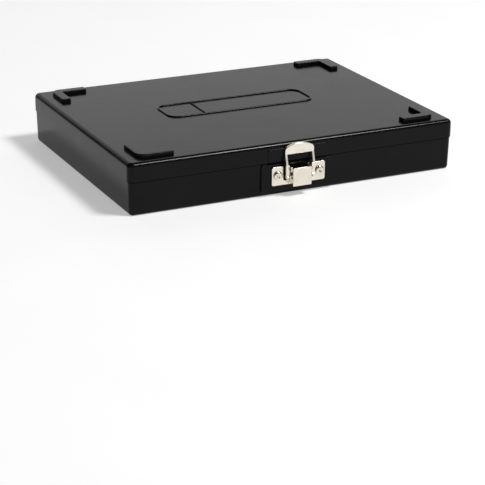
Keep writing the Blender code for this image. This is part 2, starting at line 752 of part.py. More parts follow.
def make_cover_screws():
    top = HEAD_HIGH + GAP + COVER_THICK + GAP
    profile = [(0.7 * MM, HEAD_HIGH - 3.2 * MM), (0.7 * MM, top), (1.7 * MM, top), (1.7 * MM, top + 0.4 * MM),
               (1.2 * MM, top + 0.8 * MM)]
    for i, (x, y) in enumerate(cover_screw_places()):
        place = (RATCHET_HEAD.x + x, RATCHET_HEAD.y + y, 0)
        screw = turned(f"cover_screw_{i + 1}", profile, dark_steel, "Z", place, 16)
        slot = rectangle(-2 * MM, 2 * MM, -0.25 * MM, 0.25 * MM)
        cut(screw, cutter(slot, top + 0.35 * MM, top + 2 * MM, "Z", place))


def gear_outline():
    """Pointed ratchet teeth with narrow flats; a tooth faces the pawl."""
    outline = []
    pitch = math.tau / GEAR_TEETH
    for i in range(GEAR_TEETH):
        middle = i * pitch
        for radius, shift in ((GEAR_TIP, -0.10), (GEAR_TIP, 0.10), (GEAR_ROOT, 0.42), (GEAR_ROOT, 0.58)):
            a = middle + shift * pitch
            outline.append((radius * math.cos(a), radius * math.sin(a)))
    return outline


def make_drive_gear():
    """The toothed drum with its neck and square drive, in one piece."""
    low = HEAD_LOW + 2 * MM + GAP
    origin = tuple(RATCHET_HEAD)
    gear = prism("drive_gear", gear_outline(), low, HEAD_HIGH - GAP, dark_steel, "Z", origin)
    add(gear, turned("neck", [(5.8 * MM, HEAD_LOW - 0.2 * MM), (5.8 * MM, low + MM)], plain, "Z", origin))
    plug = drive_plug(HEAD_LOW + 0.8 * MM, DRIVE_LENGTH + MM, -1)
    add(gear, stack("plug", plug, plain, "Z", origin))
    ball_pocket(gear, (RATCHET_HEAD.x, RATCHET_HEAD.y - DRIVE / 2, HEAD_LOW - 4 * MM), "Y")
    return gear


def from_pawl_pivot(radius, degrees):
    """A point given about the gear's axis, measured from the pawl's pivot."""
    a = math.radians(degrees)
    return Vector((radius * math.cos(a) - PAWL_PIVOT, radius * math.sin(a)))


def pawl_outline():
    """The rocker pawl about its own pivot, engaged on the side of +Y."""
    clear = GEAR_TIP + 0.5 * MM
    tooth = math.degrees(PAWL_ANGLE)
    engaged = [from_pawl_pivot(clear, 14), from_pawl_pivot(clear, 24), from_pawl_pivot(clear, tooth - 4),
               from_pawl_pivot(PAWL_REACH, tooth), from_pawl_pivot(clear, tooth + 4.5),
               Vector((-0.5 * MM, 6.3 * MM)), Vector((2.7 * MM, 2.4 * MM))]
    turn = Matrix.Rotation(PAWL_ROCK, 2)
    neutral = [turn.inverted() @ point for point in engaged]
    mirrored = [Vector((x, -y)) for x, y in reversed(neutral)]
    return [tuple(turn @ point) for point in neutral + mirrored]


def make_pawl():
    place = RATCHET_HEAD + Vector((PAWL_PIVOT, 0, 0))
    low = HEAD_LOW + 2 * MM + GAP
    pawl = prism("ratchet_pawl", pawl_outline(), low, HEAD_HIGH - 1.0 * MM, dark_steel, "Z", tuple(place))
    cut(pawl, round_cutter(1.55 * MM, 0, 30 * MM, "Z", tuple(place), 16))
    return pawl


def make_selector():
    """The thumb lever: a stem through the cover and a flat finger."""
    place = tuple(RATCHET_HEAD + Vector((PAWL_PIVOT, 0, 0)))
    top = HEAD_HIGH + GAP + COVER_THICK + GAP
    profile = [(1.2 * MM, HEAD_LOW + 2.4 * MM), (1.2 * MM, HEAD_HIGH - 0.4 * MM), (1.75 * MM, HEAD_HIGH - 0.4 * MM),
               (1.75 * MM, top), (3.6 * MM, top), (3.6 * MM, top + 1.2 * MM), (3.1 * MM, top + 1.6 * MM)]
    selector = turned("selector_lever", profile, dark_steel, "Z", place)
    finger = rounded(-9 * MM, 0, -1.7 * MM, 1.7 * MM, 1.4 * MM, 3)
    turn = Matrix.Rotation(-math.radians(25), 2)
    finger = [tuple(turn @ Vector(point)) for point in finger]
    add(selector, cutter(finger, top, top + 1.3 * MM, "Z", place))
    return selector


def make_spring(name, start, length, radius, wire, turns, surface=dark_steel):
    """A compression coil along X, as one swept closed tube."""
    sides = 5
    per_turn = 10
    count = turns * per_turn

    def build(form):
        rings = []
        for i in range(count + 1):
            a = math.tau * i / per_turn
            outward = Vector((0, math.cos(a), math.sin(a)))
            centre = start + outward * radius + Vector((length * i / count, 0, 0))
            ring = []
            for k in range(sides):
                b = math.tau * k / sides
                ring.append(centre + outward * wire * math.cos(b) + Vector((wire * math.sin(b), 0, 0)))
            rings.append(ring)
        fill_between(form, rings)

    return solid(name, build, surface, smooth=60)


def make_ratchet_grip():
    """The moulded sleeve over the end of the shaft."""
    mid = (HEAD_LOW + HEAD_HIGH) / 2
    start = 62 * MM
    length = RATCHET_LENGTH - start
    profile = [(5.2 * MM, start), (6.4 * MM, start + 2 * MM)]
    for i in range(4):
        along = start + 2 * MM + (length - 8 * MM) * (i + 1) / 5
        profile.append(((6.9 - 0.5 * math.cos(math.tau * (i + 1) / 3)) * MM, along))
    profile += [(7.0 * MM, RATCHET_LENGTH - 5 * MM), (5.4 * MM, RATCHET_LENGTH)]
    place = (RATCHET_HEAD.x, RATCHET_HEAD.y, mid)
    grip = turned("ratchet_grip", profile, grip_plastic, "X", place)
    cut(grip, round_cutter(3.9 * MM + GAP, start - MM, RATCHET_LENGTH - 14 * MM, "X", place, 16))
    return grip


# ---- Bars, joint and driver -----------------------------------------------------------------

def make_extension(name, centre, length):
    """An extension bar: a socket end at the left, a shaft and a male square."""
    half = length / 2
    plug_start = half - DRIVE_LENGTH
    profile = [(5.5 * MM, -half), (6.0 * MM, -half + 0.5 * MM), (6.0 * MM, -half + 13 * MM), (3.7 * MM, -half + 17 * MM),
               (3.7 * MM, plug_start - 8 * MM), (4.6 * MM, plug_start - 5 * MM), (4.6 * MM, plug_start)]
    bar = turned(name, profile, chrome, "X", tuple(centre), 16)
    add(bar, stack("plug", drive_plug(plug_start - MM, DRIVE_LENGTH + MM), plain, "X", tuple(centre)))
    cut(bar, cutter(square(DRIVE_SOCKET), -half - MM, -half + 8.2 * MM, "X", tuple(centre)))
    place = centre + Vector((half - 3.8 * MM, 0, DRIVE / 2))
    ball_pocket(bar, (place.x, place.y, place.z), "Z")
    return bar, make_ball(name + "_ball", tuple(place - Vector((0, 0, 0.1 * MM))))


def make_tee():
    """The sliding T-bar: a round bar with end stops and a sliding head."""
    half = TEE_LENGTH / 2
    place = tuple(TEE_BAR)
    profile = [(2.4 * MM, -half), (2.9 * MM, -half + 0.5 * MM), (2.9 * MM, half - 0.5 * MM), (2.4 * MM, half)]
    bar = turned("tee_bar", profile, chrome, "X", place, 16)
    body = [(5.6 * MM, -5.6 * MM), (6.2 * MM, -5.0 * MM), (6.2 * MM, 4.4 * MM), (5.4 * MM, 5.6 * MM)]
    head = turned("tee_head", body, chrome, "Z", place)
    add(head, stack("plug", drive_plug(5 * MM, DRIVE_LENGTH), plain, "Z", place))
    cut(head, round_cutter(3.2 * MM, -10 * MM, 10 * MM, "X", place, 16))
    spot = TEE_BAR + Vector((0, -DRIVE / 2, 8.6 * MM))
    ball_pocket(head, tuple(spot), "Y")
    ball = make_ball("tee_head_ball", tuple(spot + Vector((0, 0.1 * MM, 0))))
    return bar, head, ball


def fork(name, direction, tine_axis):
    """Half a universal joint: a barrel and two tines astride the centre."""
    place = tuple(JOINT_CENTRE)
    start = direction * 8 * MM
    barrel_end = direction * (18 if direction < 0 else 13) * MM
    ease = 1.9 * MM
    profile = [(6.0 * MM, barrel_end), (6.0 * MM, start + direction * ease), (6.0 * MM - ease, start)]
    barrel = turned(name, profile, chrome, "X", place, 16)
    half = 3.3 * MM
    near = 4.1 * MM
    far = 6.1 * MM
    reach = 10 * MM
    nose = arc((0, 0), half, 90, 270, 8) if direction > 0 else arc((0, 0), half, -90, 90, 8)
    outline = [(direction * reach, -half), (direction * reach, half)] + nose
    if direction < 0:
        outline = [(-reach, half), (-reach, -half)] + nose
    for side in (-1, 1):
        span = sorted((side * near, side * far))
        if tine_axis == "Z":
            tine = prism("tine", outline, *span, plain, "Z", place)
        else:
            tine = prism("tine", outline, *span, plain, "Y", place)
        add(barrel, tine)
    cut(barrel, round_cutter(1.5 * MM, -8 * MM, 8 * MM, tine_axis, place, 14))
    return barrel


def make_universal_joint():
    place = tuple(JOINT_CENTRE)
    still = fork("joint_fork_socket", -1, "Z")
    cut(still, cutter(square(DRIVE_SOCKET), -19 * MM, -10 * MM, "X", place))
    moving = fork("joint_fork_drive", 1, "Y")
    add(moving, stack("plug", drive_plug(12 * MM, 7 * MM), plain, "X", place))
    spot = JOINT_CENTRE + Vector((15.6 * MM, 0, DRIVE / 2))
    ball_pocket(moving, tuple(spot), "Z")
    block = rounded(-3.5 * MM, 3.5 * MM, -3.5 * MM, 3.5 * MM, 0.6 * MM, 2)
    cross = prism("joint_cross", block, -3.5 * MM, 3.5 * MM, dark_steel, "Z", place)
    for axis in ("Y", "Z"):
        add(cross, turned("trunnion", [(1.2 * MM, -5.9 * MM), (1.2 * MM, 5.9 * MM)], plain, axis, place, 14))
    ball = make_ball("joint_ball", tuple(spot - Vector((0, 0, 0.1 * MM))))
    return still, cross, moving, ball


def make_driver():
    """The spinner: a fluted plastic grip on a steel shank with a male square."""
    place = tuple(DRIVER)
    radii = ((7.5, 0), (9.6, 2), (10.6, 8), (10.6, 26), (9.2, 40), (10.4, 56), (10.4, 72), (7.2, 82), (6.4, 88))
    sections = []
    for radius, at in radii:
        flute = 0.6 if 2 < at < 80 else 0
        outline = []
        for i in range(24):
            a = math.tau * i / 24
            r = radius - flute * (1 - math.cos(12 * a)) / 2
            outline.append((r * MM * math.cos(a), r * MM * math.sin(a)))
        sections.append((outline, at * MM))
    handle = stack("driver_handle", sections, grip_plastic, "X", place, smooth=50)
    cut(handle, round_cutter(3.3 * MM, 40 * MM, 90 * MM, "X", place, 16))
    plug_start = DRIVER_LENGTH - DRIVE_LENGTH
    profile = [(3.0 * MM, 42 * MM), (3.0 * MM, plug_start - 8 * MM),
               (4.6 * MM, plug_start - 5 * MM), (4.6 * MM, plug_start)]
    shank = turned("driver_shank", profile, chrome, "X", place, 16)
    add(shank, stack("plug", drive_plug(plug_start - MM, DRIVE_LENGTH + MM), plain, "X", place))
    return handle, shank


def make_bit_adapter():
    """The adapter that takes hex bits at one end and the square drive at the other."""
    half = 12.5 * MM
    place = tuple(ADAPTER)
    profile = [(5.5 * MM, -half), (6.0 * MM, -half + 0.5 * MM), (6.0 * MM, -1 * MM), (5.0 * MM, 1 * MM),
               (5.0 * MM, half - 0.5 * MM), (4.5 * MM, half)]
    adapter = turned("bit_adapter", profile, chrome, "X", place, 16)
    cut(adapter, cutter(square(DRIVE_SOCKET), -half - MM, -half + 8.2 * MM, "X", place),
        cutter(hexagon(BIT_ACROSS + 0.25 * MM), half - 10 * MM, half + MM, "X", place))
    return adapter


def cross_outline(radius, web):
    """A plus-shaped section with its arms on X and Y."""
    quarter = [(radius, -web), (radius, web), (web, web)]
    outline = []
    for i in range(4):
        turn = Matrix.Rotation(math.pi / 2 * i, 2)
        outline += [tuple(turn @ Vector(point)) for point in quarter]
    return outline


def make_bit(kind, size, x, y):
    """A 25 mm driver bit standing on its hex shank, tip upwards."""
    shank_top = 12 * MM
    neck = size / 2 * MM
    tip = BIT_LENGTH
    place = (x, y, WELL_FLOOR + GAP)
    name = f"bit_{kind}_{round(size * 10):02d}"
    sections = [(hexagon(BIT_ACROSS - 0.8 * MM), 0), (hexagon(BIT_ACROSS), 0.4 * MM), (hexagon(BIT_ACROSS), shank_top),
                (hexagon(2 * neck + 0.6 * MM), shank_top + 2 * MM), (hexagon(2 * neck), tip - 4 * MM)]
    if kind == "hex":
        sections.append((hexagon(2 * neck), tip))
        return stack(name, sections, dark_steel, "Z", place)
    sections.append((hexagon(2 * neck), tip - 3.6 * MM))
    bit = stack(name, sections, dark_steel, "Z", place)
    if kind == "slotted":
        wide = rectangle(-neck, neck, -0.9 * MM, 0.9 * MM)
        thin = rectangle(-neck, neck, -0.4 * MM, 0.4 * MM)
        point = [(wide, tip - 5 * MM), (wide, tip - 3.6 * MM), (thin, tip)]
    else:
        point = [(cross_outline(neck, 0.45 * MM), tip - 5 * MM), (cross_outline(neck, 0.4 * MM), tip - 3 * MM),
                 (cross_outline(0.75 * MM, 0.3 * MM), tip)]
    add(bit, stack("tip", point, plain, "Z", place))
    return bit


def bit_list():
    """Kinds and sizes of the bits with their places, front to back in two columns."""
    kinds = (("slotted", 4.5), ("slotted", 5.5), ("cross", 4.6), ("cross", 5.0),
             ("hex", 3.0), ("hex", 4.0), ("hex", 5.0), ("hex", 6.0))
    rows = []
    for i, (kind, size) in enumerate(kinds):
        rows.append((kind, size, BIT_COLUMNS[i % 2], BIT_FRONT + BIT_STEP * (i // 2)))
    return rows


# ---- Tool insert ----------------------------------------------------------------------------

def trench(left, right, y, half_width, floor, radius=2.0 * MM):
    """A straight pocket along X."""
    outline = rounded(left, right, y - half_width, y + half_width, min(radius, half_width * 0.9), 3)
    return cutter(outline, floor, TRAY_TOP + MM)


def finger_scoop(x, y, radius):
    return round_cutter(radius, 7 * MM, TRAY_TOP + MM, "Z", (x, y, 0), 16)


def make_tray():
    """The moulded insert, with a pocket for each tool."""
    half_x = CASE_WIDTH / 2 - BASE_INNER - 1.4 * MM
    half_y = CASE_DEPTH / 2 - BASE_INNER - 1.4 * MM
    outline = rounded(-half_x, half_x, -half_y, half_y, 1.5 * MM, 3)
    tray = prism("tool_tray", outline, BASE_FLOOR + GAP, TRAY_TOP, insert_plastic)
    for size, x in zip(SOCKET_SIZES, socket_places()):
        reach = socket_radius(size) + 0.5 * MM
        cut(tray, trench(x - reach, x + reach, SOCKET_ROW, 11 * MM, WELL_FLOOR, 1.5 * MM))
    head = (RATCHET_HEAD.x, RATCHET_HEAD.y, 0)
    tee_end = TEE_LENGTH / 2 + MM
    slide_end = TEE_TRAVEL + 7.2 * MM
    cut(tray, round_cutter(HEAD_RADIUS + 0.7 * MM, HEAD_LOW - GAP, TRAY_TOP + MM, "Z", head),
        round_cutter(5.4 * MM, WELL_FLOOR, HEAD_LOW, "Z", head),
        trench(head[0], head[0] + 30 * MM, head[1], 10.2 * MM, HEAD_LOW - GAP),
        trench(head[0] + 26 * MM, head[0] + RATCHET_LENGTH + MM, head[1], 7.9 * MM, 8.4 * MM),
        trench(LONG_BAR.x - 51 * MM, LONG_BAR.x + 51 * MM, LONG_BAR.y, 6.6 * MM, WELL_FLOOR),
        trench(SHORT_BAR.x - 26 * MM, SHORT_BAR.x + 26 * MM, SHORT_BAR.y, 6.6 * MM, WELL_FLOOR),
        trench(TEE_BAR.x - tee_end, TEE_BAR.x + tee_end, TEE_BAR.y, 3.5 * MM, 9.7 * MM, MM),
        trench(TEE_BAR.x - slide_end, TEE_BAR.x + slide_end, TEE_BAR.y, 7.2 * MM, 7 * MM),
        trench(JOINT_CENTRE.x - 19 * MM, JOINT_CENTRE.x + 21.5 * MM, JOINT_CENTRE.y, 18.8 * MM, WELL_FLOOR),
        trench(DRIVER.x - MM, DRIVER.x + DRIVER_GRIP + MM, DRIVER.y, 11.6 * MM, 4.3 * MM),
        trench(DRIVER.x + DRIVER_GRIP - 3 * MM, DRIVER.x + DRIVER_LENGTH + MM, DRIVER.y, 5.4 * MM, 10 * MM),
        trench(ADAPTER.x - 13 * MM, ADAPTER.x + 13 * MM, ADAPTER.y, 6.6 * MM, WELL_FLOOR),
        finger_scoop(DRIVER.x + 118 * MM, DRIVER.y, 10 * MM),
        finger_scoop(RATCHET_HEAD.x + 48 * MM, RATCHET_HEAD.y, 10.5 * MM))
    for _, _, x, y in bit_list():
        cut(tray, cutter(hexagon(BIT_ACROSS + 0.8 * MM), WELL_FLOOR, TRAY_TOP + MM, "Z", (x, y, 0)))
    return tray


# ---- Whole object ---------------------------------------------------------------------------

def make_case():
    make_base()
    make_lid()
    make_hinge_pins()
    make_tray()


def make_latch():
    make_latch_plate()
    plate_out = PLATE_BACK + SHEET + GAP
    make_rivets("latch_rivet", RIVET_SPACING, RIVET_HEIGHT, RIVET_RADIUS, 1.3 * MM, plate_out, 1.8 * MM)
    make_lever()
    make_latch_pin("lever_pin", LEVER_PIVOT, LEVER_HALF + GAP + CHEEK_SHEET)
    make_link()
    make_latch_pin("link_pin", LINK_PIVOT, LINK_HALF)
    make_strike()
    seat_out = PLATE_BACK + STRIKE_SHEET - STRIKE_SEAT + GAP
    make_rivets("strike_rivet", STRIKE_RIVETS, STRIKE_HEIGHT, STRIKE_HEAD, 0.25 * MM, seat_out, 1.3 * MM)


def make_ratchet():
    make_ratchet_body()
    make_ratchet_cover()
    make_cover_screws()
    make_drive_gear()
    ball = RATCHET_HEAD + Vector((0, -DRIVE / 2 + 0.1 * MM, HEAD_LOW - 4 * MM))
    make_ball("drive_ball", tuple(ball))
    make_pawl()
    make_selector()
    mid = (HEAD_LOW + HEAD_HIGH) / 2
    line = RATCHET_HEAD + Vector((0, 0, mid))
    make_ball("pawl_ball", tuple(line + Vector((16.1 * MM, 0, 0))), radius=1.1 * MM)
    make_spring("pawl_spring", line + Vector((17.8 * MM, 0, 0)), 4.2 * MM, 0.95 * MM, 0.2 * MM, 4)
    make_ratchet_grip()


def make_tools():
    for size, x in zip(SOCKET_SIZES, socket_places()):
        make_socket(size, x)
    make_ratchet()
    make_extension("extension_long", LONG_BAR, 100 * MM)
    make_extension("extension_short", SHORT_BAR, 50 * MM)
    make_tee()
    make_universal_joint()
    make_driver()
    make_bit_adapter()
    for kind, size, x, y in bit_list():
        make_bit(kind, size, x, y)


clear_scene()
make_case()
make_latch()
make_tools()
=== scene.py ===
# %% [markdown]
# # A quarter-inch socket wrench set in a moulded case
#
# The object is a shallow black plastic case with a nickel-plated draw latch. Inside lie a ratchet, ten
# sockets, two extension bars, a T-bar, a universal joint, a spinner and driver bits, each in its own
# pocket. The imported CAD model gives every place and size. This script builds the fine meshes and the
# finishes round it.
#
# A still picture could be faked with two boxes and a bumpy material. Here each piece is a real mesh,
# because the same pieces must also look right when the latch is lifted and the lid swings back.

# %% Load the frame
import json
import math

import bmesh
import bpy
from mathutils import Matrix, Vector


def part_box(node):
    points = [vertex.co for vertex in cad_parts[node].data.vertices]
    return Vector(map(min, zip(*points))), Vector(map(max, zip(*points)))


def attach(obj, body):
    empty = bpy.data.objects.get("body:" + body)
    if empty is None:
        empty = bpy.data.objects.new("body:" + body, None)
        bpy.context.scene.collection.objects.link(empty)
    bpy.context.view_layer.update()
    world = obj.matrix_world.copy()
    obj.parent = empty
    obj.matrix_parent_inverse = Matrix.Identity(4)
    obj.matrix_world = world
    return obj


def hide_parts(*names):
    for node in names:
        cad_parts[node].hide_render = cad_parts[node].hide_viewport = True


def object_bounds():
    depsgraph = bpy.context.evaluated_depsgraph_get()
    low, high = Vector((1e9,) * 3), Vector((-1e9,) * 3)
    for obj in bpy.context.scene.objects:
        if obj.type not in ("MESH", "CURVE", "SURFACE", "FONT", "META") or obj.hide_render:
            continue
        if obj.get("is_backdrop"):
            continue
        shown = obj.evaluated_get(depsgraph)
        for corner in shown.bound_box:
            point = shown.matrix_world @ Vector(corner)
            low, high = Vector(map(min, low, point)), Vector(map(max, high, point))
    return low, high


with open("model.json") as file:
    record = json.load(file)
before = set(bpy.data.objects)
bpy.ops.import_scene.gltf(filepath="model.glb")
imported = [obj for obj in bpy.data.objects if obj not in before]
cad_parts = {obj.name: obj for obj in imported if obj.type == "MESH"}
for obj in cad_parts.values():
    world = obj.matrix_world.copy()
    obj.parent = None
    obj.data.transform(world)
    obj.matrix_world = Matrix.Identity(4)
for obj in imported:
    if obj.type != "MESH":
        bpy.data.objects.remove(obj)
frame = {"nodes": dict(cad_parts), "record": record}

cad_box = [list(map(float, corner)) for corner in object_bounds()]
print("nodes:", len(frame["nodes"]))

# %% [markdown]
# ## Camera, floor and light
#
# A product photographer sets a long lens well back, so that the case's long edges stay almost parallel.
# The camera stands to the left of the latch and looks down by about 21 degrees.
# Its place could be found by trial and error. Here it is written as two turns, a small roll and a point,
# so that each number means something and can be changed on its own.

# %% Place the camera
MM = 0.001
SENSOR = 36.0
LENS = 129.4
CAMERA_AT = Vector((-445.4, -927.5, 334.6)) * MM
CAMERA_TURN = math.radians(-25.815)
CAMERA_DOWN = math.radians(20.929)
CAMERA_ROLL = math.radians(0.45)


def camera_axes(turn, down, roll):
    """Right, up and back directions of a camera turned about Z and tipped down."""
    back = Vector((math.sin(turn) * math.cos(down), -math.cos(turn) * math.cos(down), math.sin(down)))
    right = Vector((math.cos(turn), math.sin(turn), 0))
    up = back.cross(right)
    rolled_right = right * math.cos(roll) + up * math.sin(roll)
    rolled_up = up * math.cos(roll) - right * math.sin(roll)
    return rolled_right, rolled_up, back


def place_camera():
    eye = bpy.data.cameras.new("product_lens")
    eye.lens = LENS
    eye.sensor_width = SENSOR
    holder = bpy.data.objects.new("camera", eye)
    bpy.context.scene.collection.objects.link(holder)
    axes = camera_axes(CAMERA_TURN, CAMERA_DOWN, CAMERA_ROLL)
    holder.matrix_world = Matrix.Translation(CAMERA_AT) @ Matrix(axes).transposed().to_4x4()
    bpy.context.scene.camera = holder


place_camera()
print("camera stands", round(CAMERA_AT.length, 3), "m from the case")

# %% [markdown]
# Black gloss and nickel show only what they reflect, so the room matters more than the surface's own
# colour. Behind the case hangs a low white wall, which the polished lid mirrors as a calm grey. A lower one
# stands in front. Overhead and at the left the room is dark, and that draws the fine black lines along the
# metal's rolled edges. The table is white paper, lit from below. One small, strong lamp gives the thin
# bright line on the lid's front edge and the sparks on the rivets. An even white room would be simpler, but
# then every edge would be as bright as every face, and nothing would have shape.

# %% Light the room
ROOM_DARK = 0.06
WALL_BRIGHT = 0.80
WALL_TOWARDS = (0.5, 0.866, 0.0)
WALL_ACROSS = ((0.56, 0.0), (0.70, 1.0))
WALL_UPWARD = ((0.0, 1.0), (0.55, 1.0), (0.78, 0.0))
FRONT_BRIGHT = 0.80
FRONT_TOWARDS = (0, -1, 0)
FRONT_ACROSS = ((0.3, 0.0), (0.55, 1.0))
FRONT_UPWARD = ((0.0, 1.0), (0.20, 1.0), (0.34, 0.0))
KEY_TOWARDS = Vector((0.407, -0.357, 0.841))
KEY_DISTANCE = 2.6
KEY_SIZE = 0.62
KEY_POWER = 46
TABLE_GLOW = 0.40


def soft_panel(name, at, aim, width, height, power):
    """An area light at a point, turned to face another point."""
    lamp = bpy.data.lights.new(name, "AREA")
    lamp.shape = "RECTANGLE"
    lamp.size = width
    lamp.size_y = height
    lamp.energy = power
    holder = bpy.data.objects.new(name, lamp)
    bpy.context.scene.collection.objects.link(holder)
    holder.location = at
    holder.rotation_euler = (Vector(aim) - Vector(at)).to_track_quat("-Z", "Y").to_euler()
    return holder


def grey_steps(nodes, stops):
    """A colour ramp through (place, grey) pairs."""
    ramp = nodes.new("ShaderNodeValToRGB")
    ramp.color_ramp.interpolation = "EASE"
    ramp.color_ramp.elements[0].position = stops[0][0]
    ramp.color_ramp.elements[1].position = stops[-1][0]
    for place, _ in stops[1:-1]:
        ramp.color_ramp.elements.new(place)
    for element, (_, grey) in zip(ramp.color_ramp.elements, stops):
        element.color = (grey, grey, grey, 1)
    return ramp


def bright_patch(tree, where, towards, across, upward, brightness):
    """One lit patch of the room: how far round it is from a direction, times how high it is."""
    facing = tree.nodes.new("ShaderNodeVectorMath")
    facing.operation = "DOT_PRODUCT"
    facing.inputs[1].default_value = towards
    split = tree.nodes.new("ShaderNodeSeparateXYZ")
    tree.links.new(where, facing.inputs[0])
    tree.links.new(where, split.inputs[0])
    value = None
    for source, stops in ((facing.outputs["Value"], across), (split.outputs["Z"], upward)):
        ramp = grey_steps(tree.nodes, stops)
        tree.links.new(source, ramp.inputs["Fac"])
        product = tree.nodes.new("ShaderNodeMath")
        product.operation = "MULTIPLY"
        product.inputs[1].default_value = brightness
        tree.links.new(ramp.outputs["Color"], product.inputs[0])
        if value is not None:
            tree.links.new(value, product.inputs[1])
        value = product.outputs[0]
    return value


def studio_room():
    """A dark room with a low white wall behind the case and a lower one in front of it."""
    world = bpy.data.worlds.new("studio_room")
    bpy.context.scene.world = world
    world.use_nodes = True
    tree = world.node_tree
    where = tree.nodes.new("ShaderNodeTexCoord").outputs["Generated"]
    wall = bright_patch(tree, where, WALL_TOWARDS, WALL_ACROSS, WALL_UPWARD, WALL_BRIGHT)
    front = bright_patch(tree, where, FRONT_TOWARDS, FRONT_ACROSS, FRONT_UPWARD, FRONT_BRIGHT)
    both = tree.nodes.new("ShaderNodeMath")
    level = tree.nodes.new("ShaderNodeMath")
    level.inputs[1].default_value = ROOM_DARK
    tree.links.new(wall, both.inputs[0])
    tree.links.new(front, both.inputs[1])
    tree.links.new(both.outputs[0], level.inputs[0])
    tree.links.new(level.outputs[0], tree.nodes["Background"].inputs["Color"])
    tree.nodes["Background"].inputs["Strength"].default_value = 1.0


studio_room()
soft_panel("key_lamp", KEY_TOWARDS * KEY_DISTANCE, (0, 0, 0), KEY_SIZE, KEY_SIZE, KEY_POWER)
bpy.context.scene.view_settings.view_transform = "Standard"
print("key lamp", KEY_DISTANCE, "m away,", KEY_SIZE, "m wide")

# %% [markdown]
# ## Finishes
#
# Each finish is a small tree of nodes on the Principled shader. The same three things repeat:
# colour that wanders a little, gloss that wanders a little more, and a fine bump.
# Image textures could do this, but they need unwrapped meshes. Noise in the object's own space
# has a true size in millimetres on every piece, with no unwrapping.

# %% Tools for making finishes
def new_finish(name, metallic, ior=1.46):
    """A material with its shader, and a place to hang nodes."""
    finish = bpy.data.materials.new(name)
    finish.use_nodes = True
    tree = finish.node_tree
    shader = tree.nodes["Principled BSDF"]
    shader.inputs["Metallic"].default_value = metallic
    shader.inputs["IOR"].default_value = ior
    return finish, tree, shader


def noise(tree, size, detail=3.0, stretch=(1, 1, 1)):
    """Noise whose blotches are about size metres across, drawn out along an axis by stretch."""
    where = tree.nodes.new("ShaderNodeTexCoord")
    scale = tree.nodes.new("ShaderNodeMapping")
    scale.inputs["Scale"].default_value = [1 / (size * s) for s in stretch]
    pattern = tree.nodes.new("ShaderNodeTexNoise")
    pattern.inputs["Scale"].default_value = 1.0
    pattern.inputs["Detail"].default_value = detail
    tree.links.new(where.outputs["Object"], scale.inputs["Vector"])
    tree.links.new(scale.outputs["Vector"], pattern.inputs["Vector"])
    return pattern.outputs["Fac"]


def spread(tree, value, low, high, start=0.3, stop=0.7):
    """Stretch a noise value onto the range low to high."""
    shift = tree.nodes.new("ShaderNodeMapRange")
    shift.inputs["From Min"].default_value = start
    shift.inputs["From Max"].default_value = stop
    shift.inputs["To Min"].default_value = low
    shift.inputs["To Max"].default_value = high
    tree.links.new(value, shift.inputs["Value"])
    return shift.outputs["Result"]


def blend_colour(tree, value, first, second):
    """Run between two colours as the value goes from 0.3 to 0.7."""
    ramp = tree.nodes.new("ShaderNodeValToRGB")
    ramp.color_ramp.elements[0].position = 0.3
    ramp.color_ramp.elements[0].color = (*first, 1)
    ramp.color_ramp.elements[1].position = 0.7
    ramp.color_ramp.elements[1].color = (*second, 1)
    tree.links.new(value, ramp.inputs["Fac"])
    return ramp.outputs["Color"]


def join_values(tree, first, second, how="ADD"):
    sum_node = tree.nodes.new("ShaderNodeMath")
    sum_node.operation = how
    tree.links.new(first, sum_node.inputs[0])
    tree.links.new(second, sum_node.inputs[1])
    return sum_node.outputs[0]


def raise_bumps(tree, shader, height, depth, strength=1.0, under=None):
    """Bend the shading by a height pattern that is depth metres deep."""
    bump = tree.nodes.new("ShaderNodeBump")
    bump.inputs["Strength"].default_value = strength
    bump.inputs["Distance"].default_value = depth
    tree.links.new(height, bump.inputs["Height"])
    if under is not None:
        tree.links.new(under, bump.inputs["Normal"])
    tree.links.new(bump.outputs["Normal"], shader.inputs["Normal"])
    return bump.outputs["Normal"]


def paint(tree, shader, pattern, first, second):
    """Let the base colour wander between two colours."""
    tree.links.new(blend_colour(tree, pattern, first, second), shader.inputs["Base Color"])


print("finishes can be mixed")


# %% [markdown]
# The case is injection-moulded from black plastic in a polished mould. It is glossy, but never a mirror:
# the skin has a faint orange-peel wave, handling leaves hair scratches, and the gloss drifts from place to
# place.

# %% Black case plastic
SHELL_IOR = 1.22
SHELL_DARK = (0.0028, 0.0028, 0.0030)
SHELL_LIGHT = (0.0042, 0.0042, 0.0045)


def case_plastic(name, gloss_low, gloss_high):
    finish, tree, shader = new_finish(name, 0.0, SHELL_IOR)
    paint(tree, shader, noise(tree, 30 * MM, 2), SHELL_DARK, SHELL_LIGHT)
    drift = spread(tree, noise(tree, 22 * MM, 4), gloss_low, gloss_high)
    hairs = spread(tree, noise(tree, 0.7 * MM, 2, (14, 0.5, 1)), 0.0, 0.07, 0.62, 0.80)
    tree.links.new(join_values(tree, drift, hairs), shader.inputs["Roughness"])
    wave = raise_bumps(tree, shader, noise(tree, 9 * MM, 1), 0.035 * MM)
    raise_bumps(tree, shader, noise(tree, 0.9 * MM, 2), 0.0035 * MM, 1.0, wave)
    return finish


black_shell = case_plastic("black_shell_plastic", 0.12, 0.21)
print("made", black_shell.name)

# %% [markdown]
# The latch is stamped from mild steel, tumbled, and plated with bright nickel. Nickel is warmer than chrome.
# Tumbling rounds the edges and leaves the flats very slightly wavy, so reflections bend.

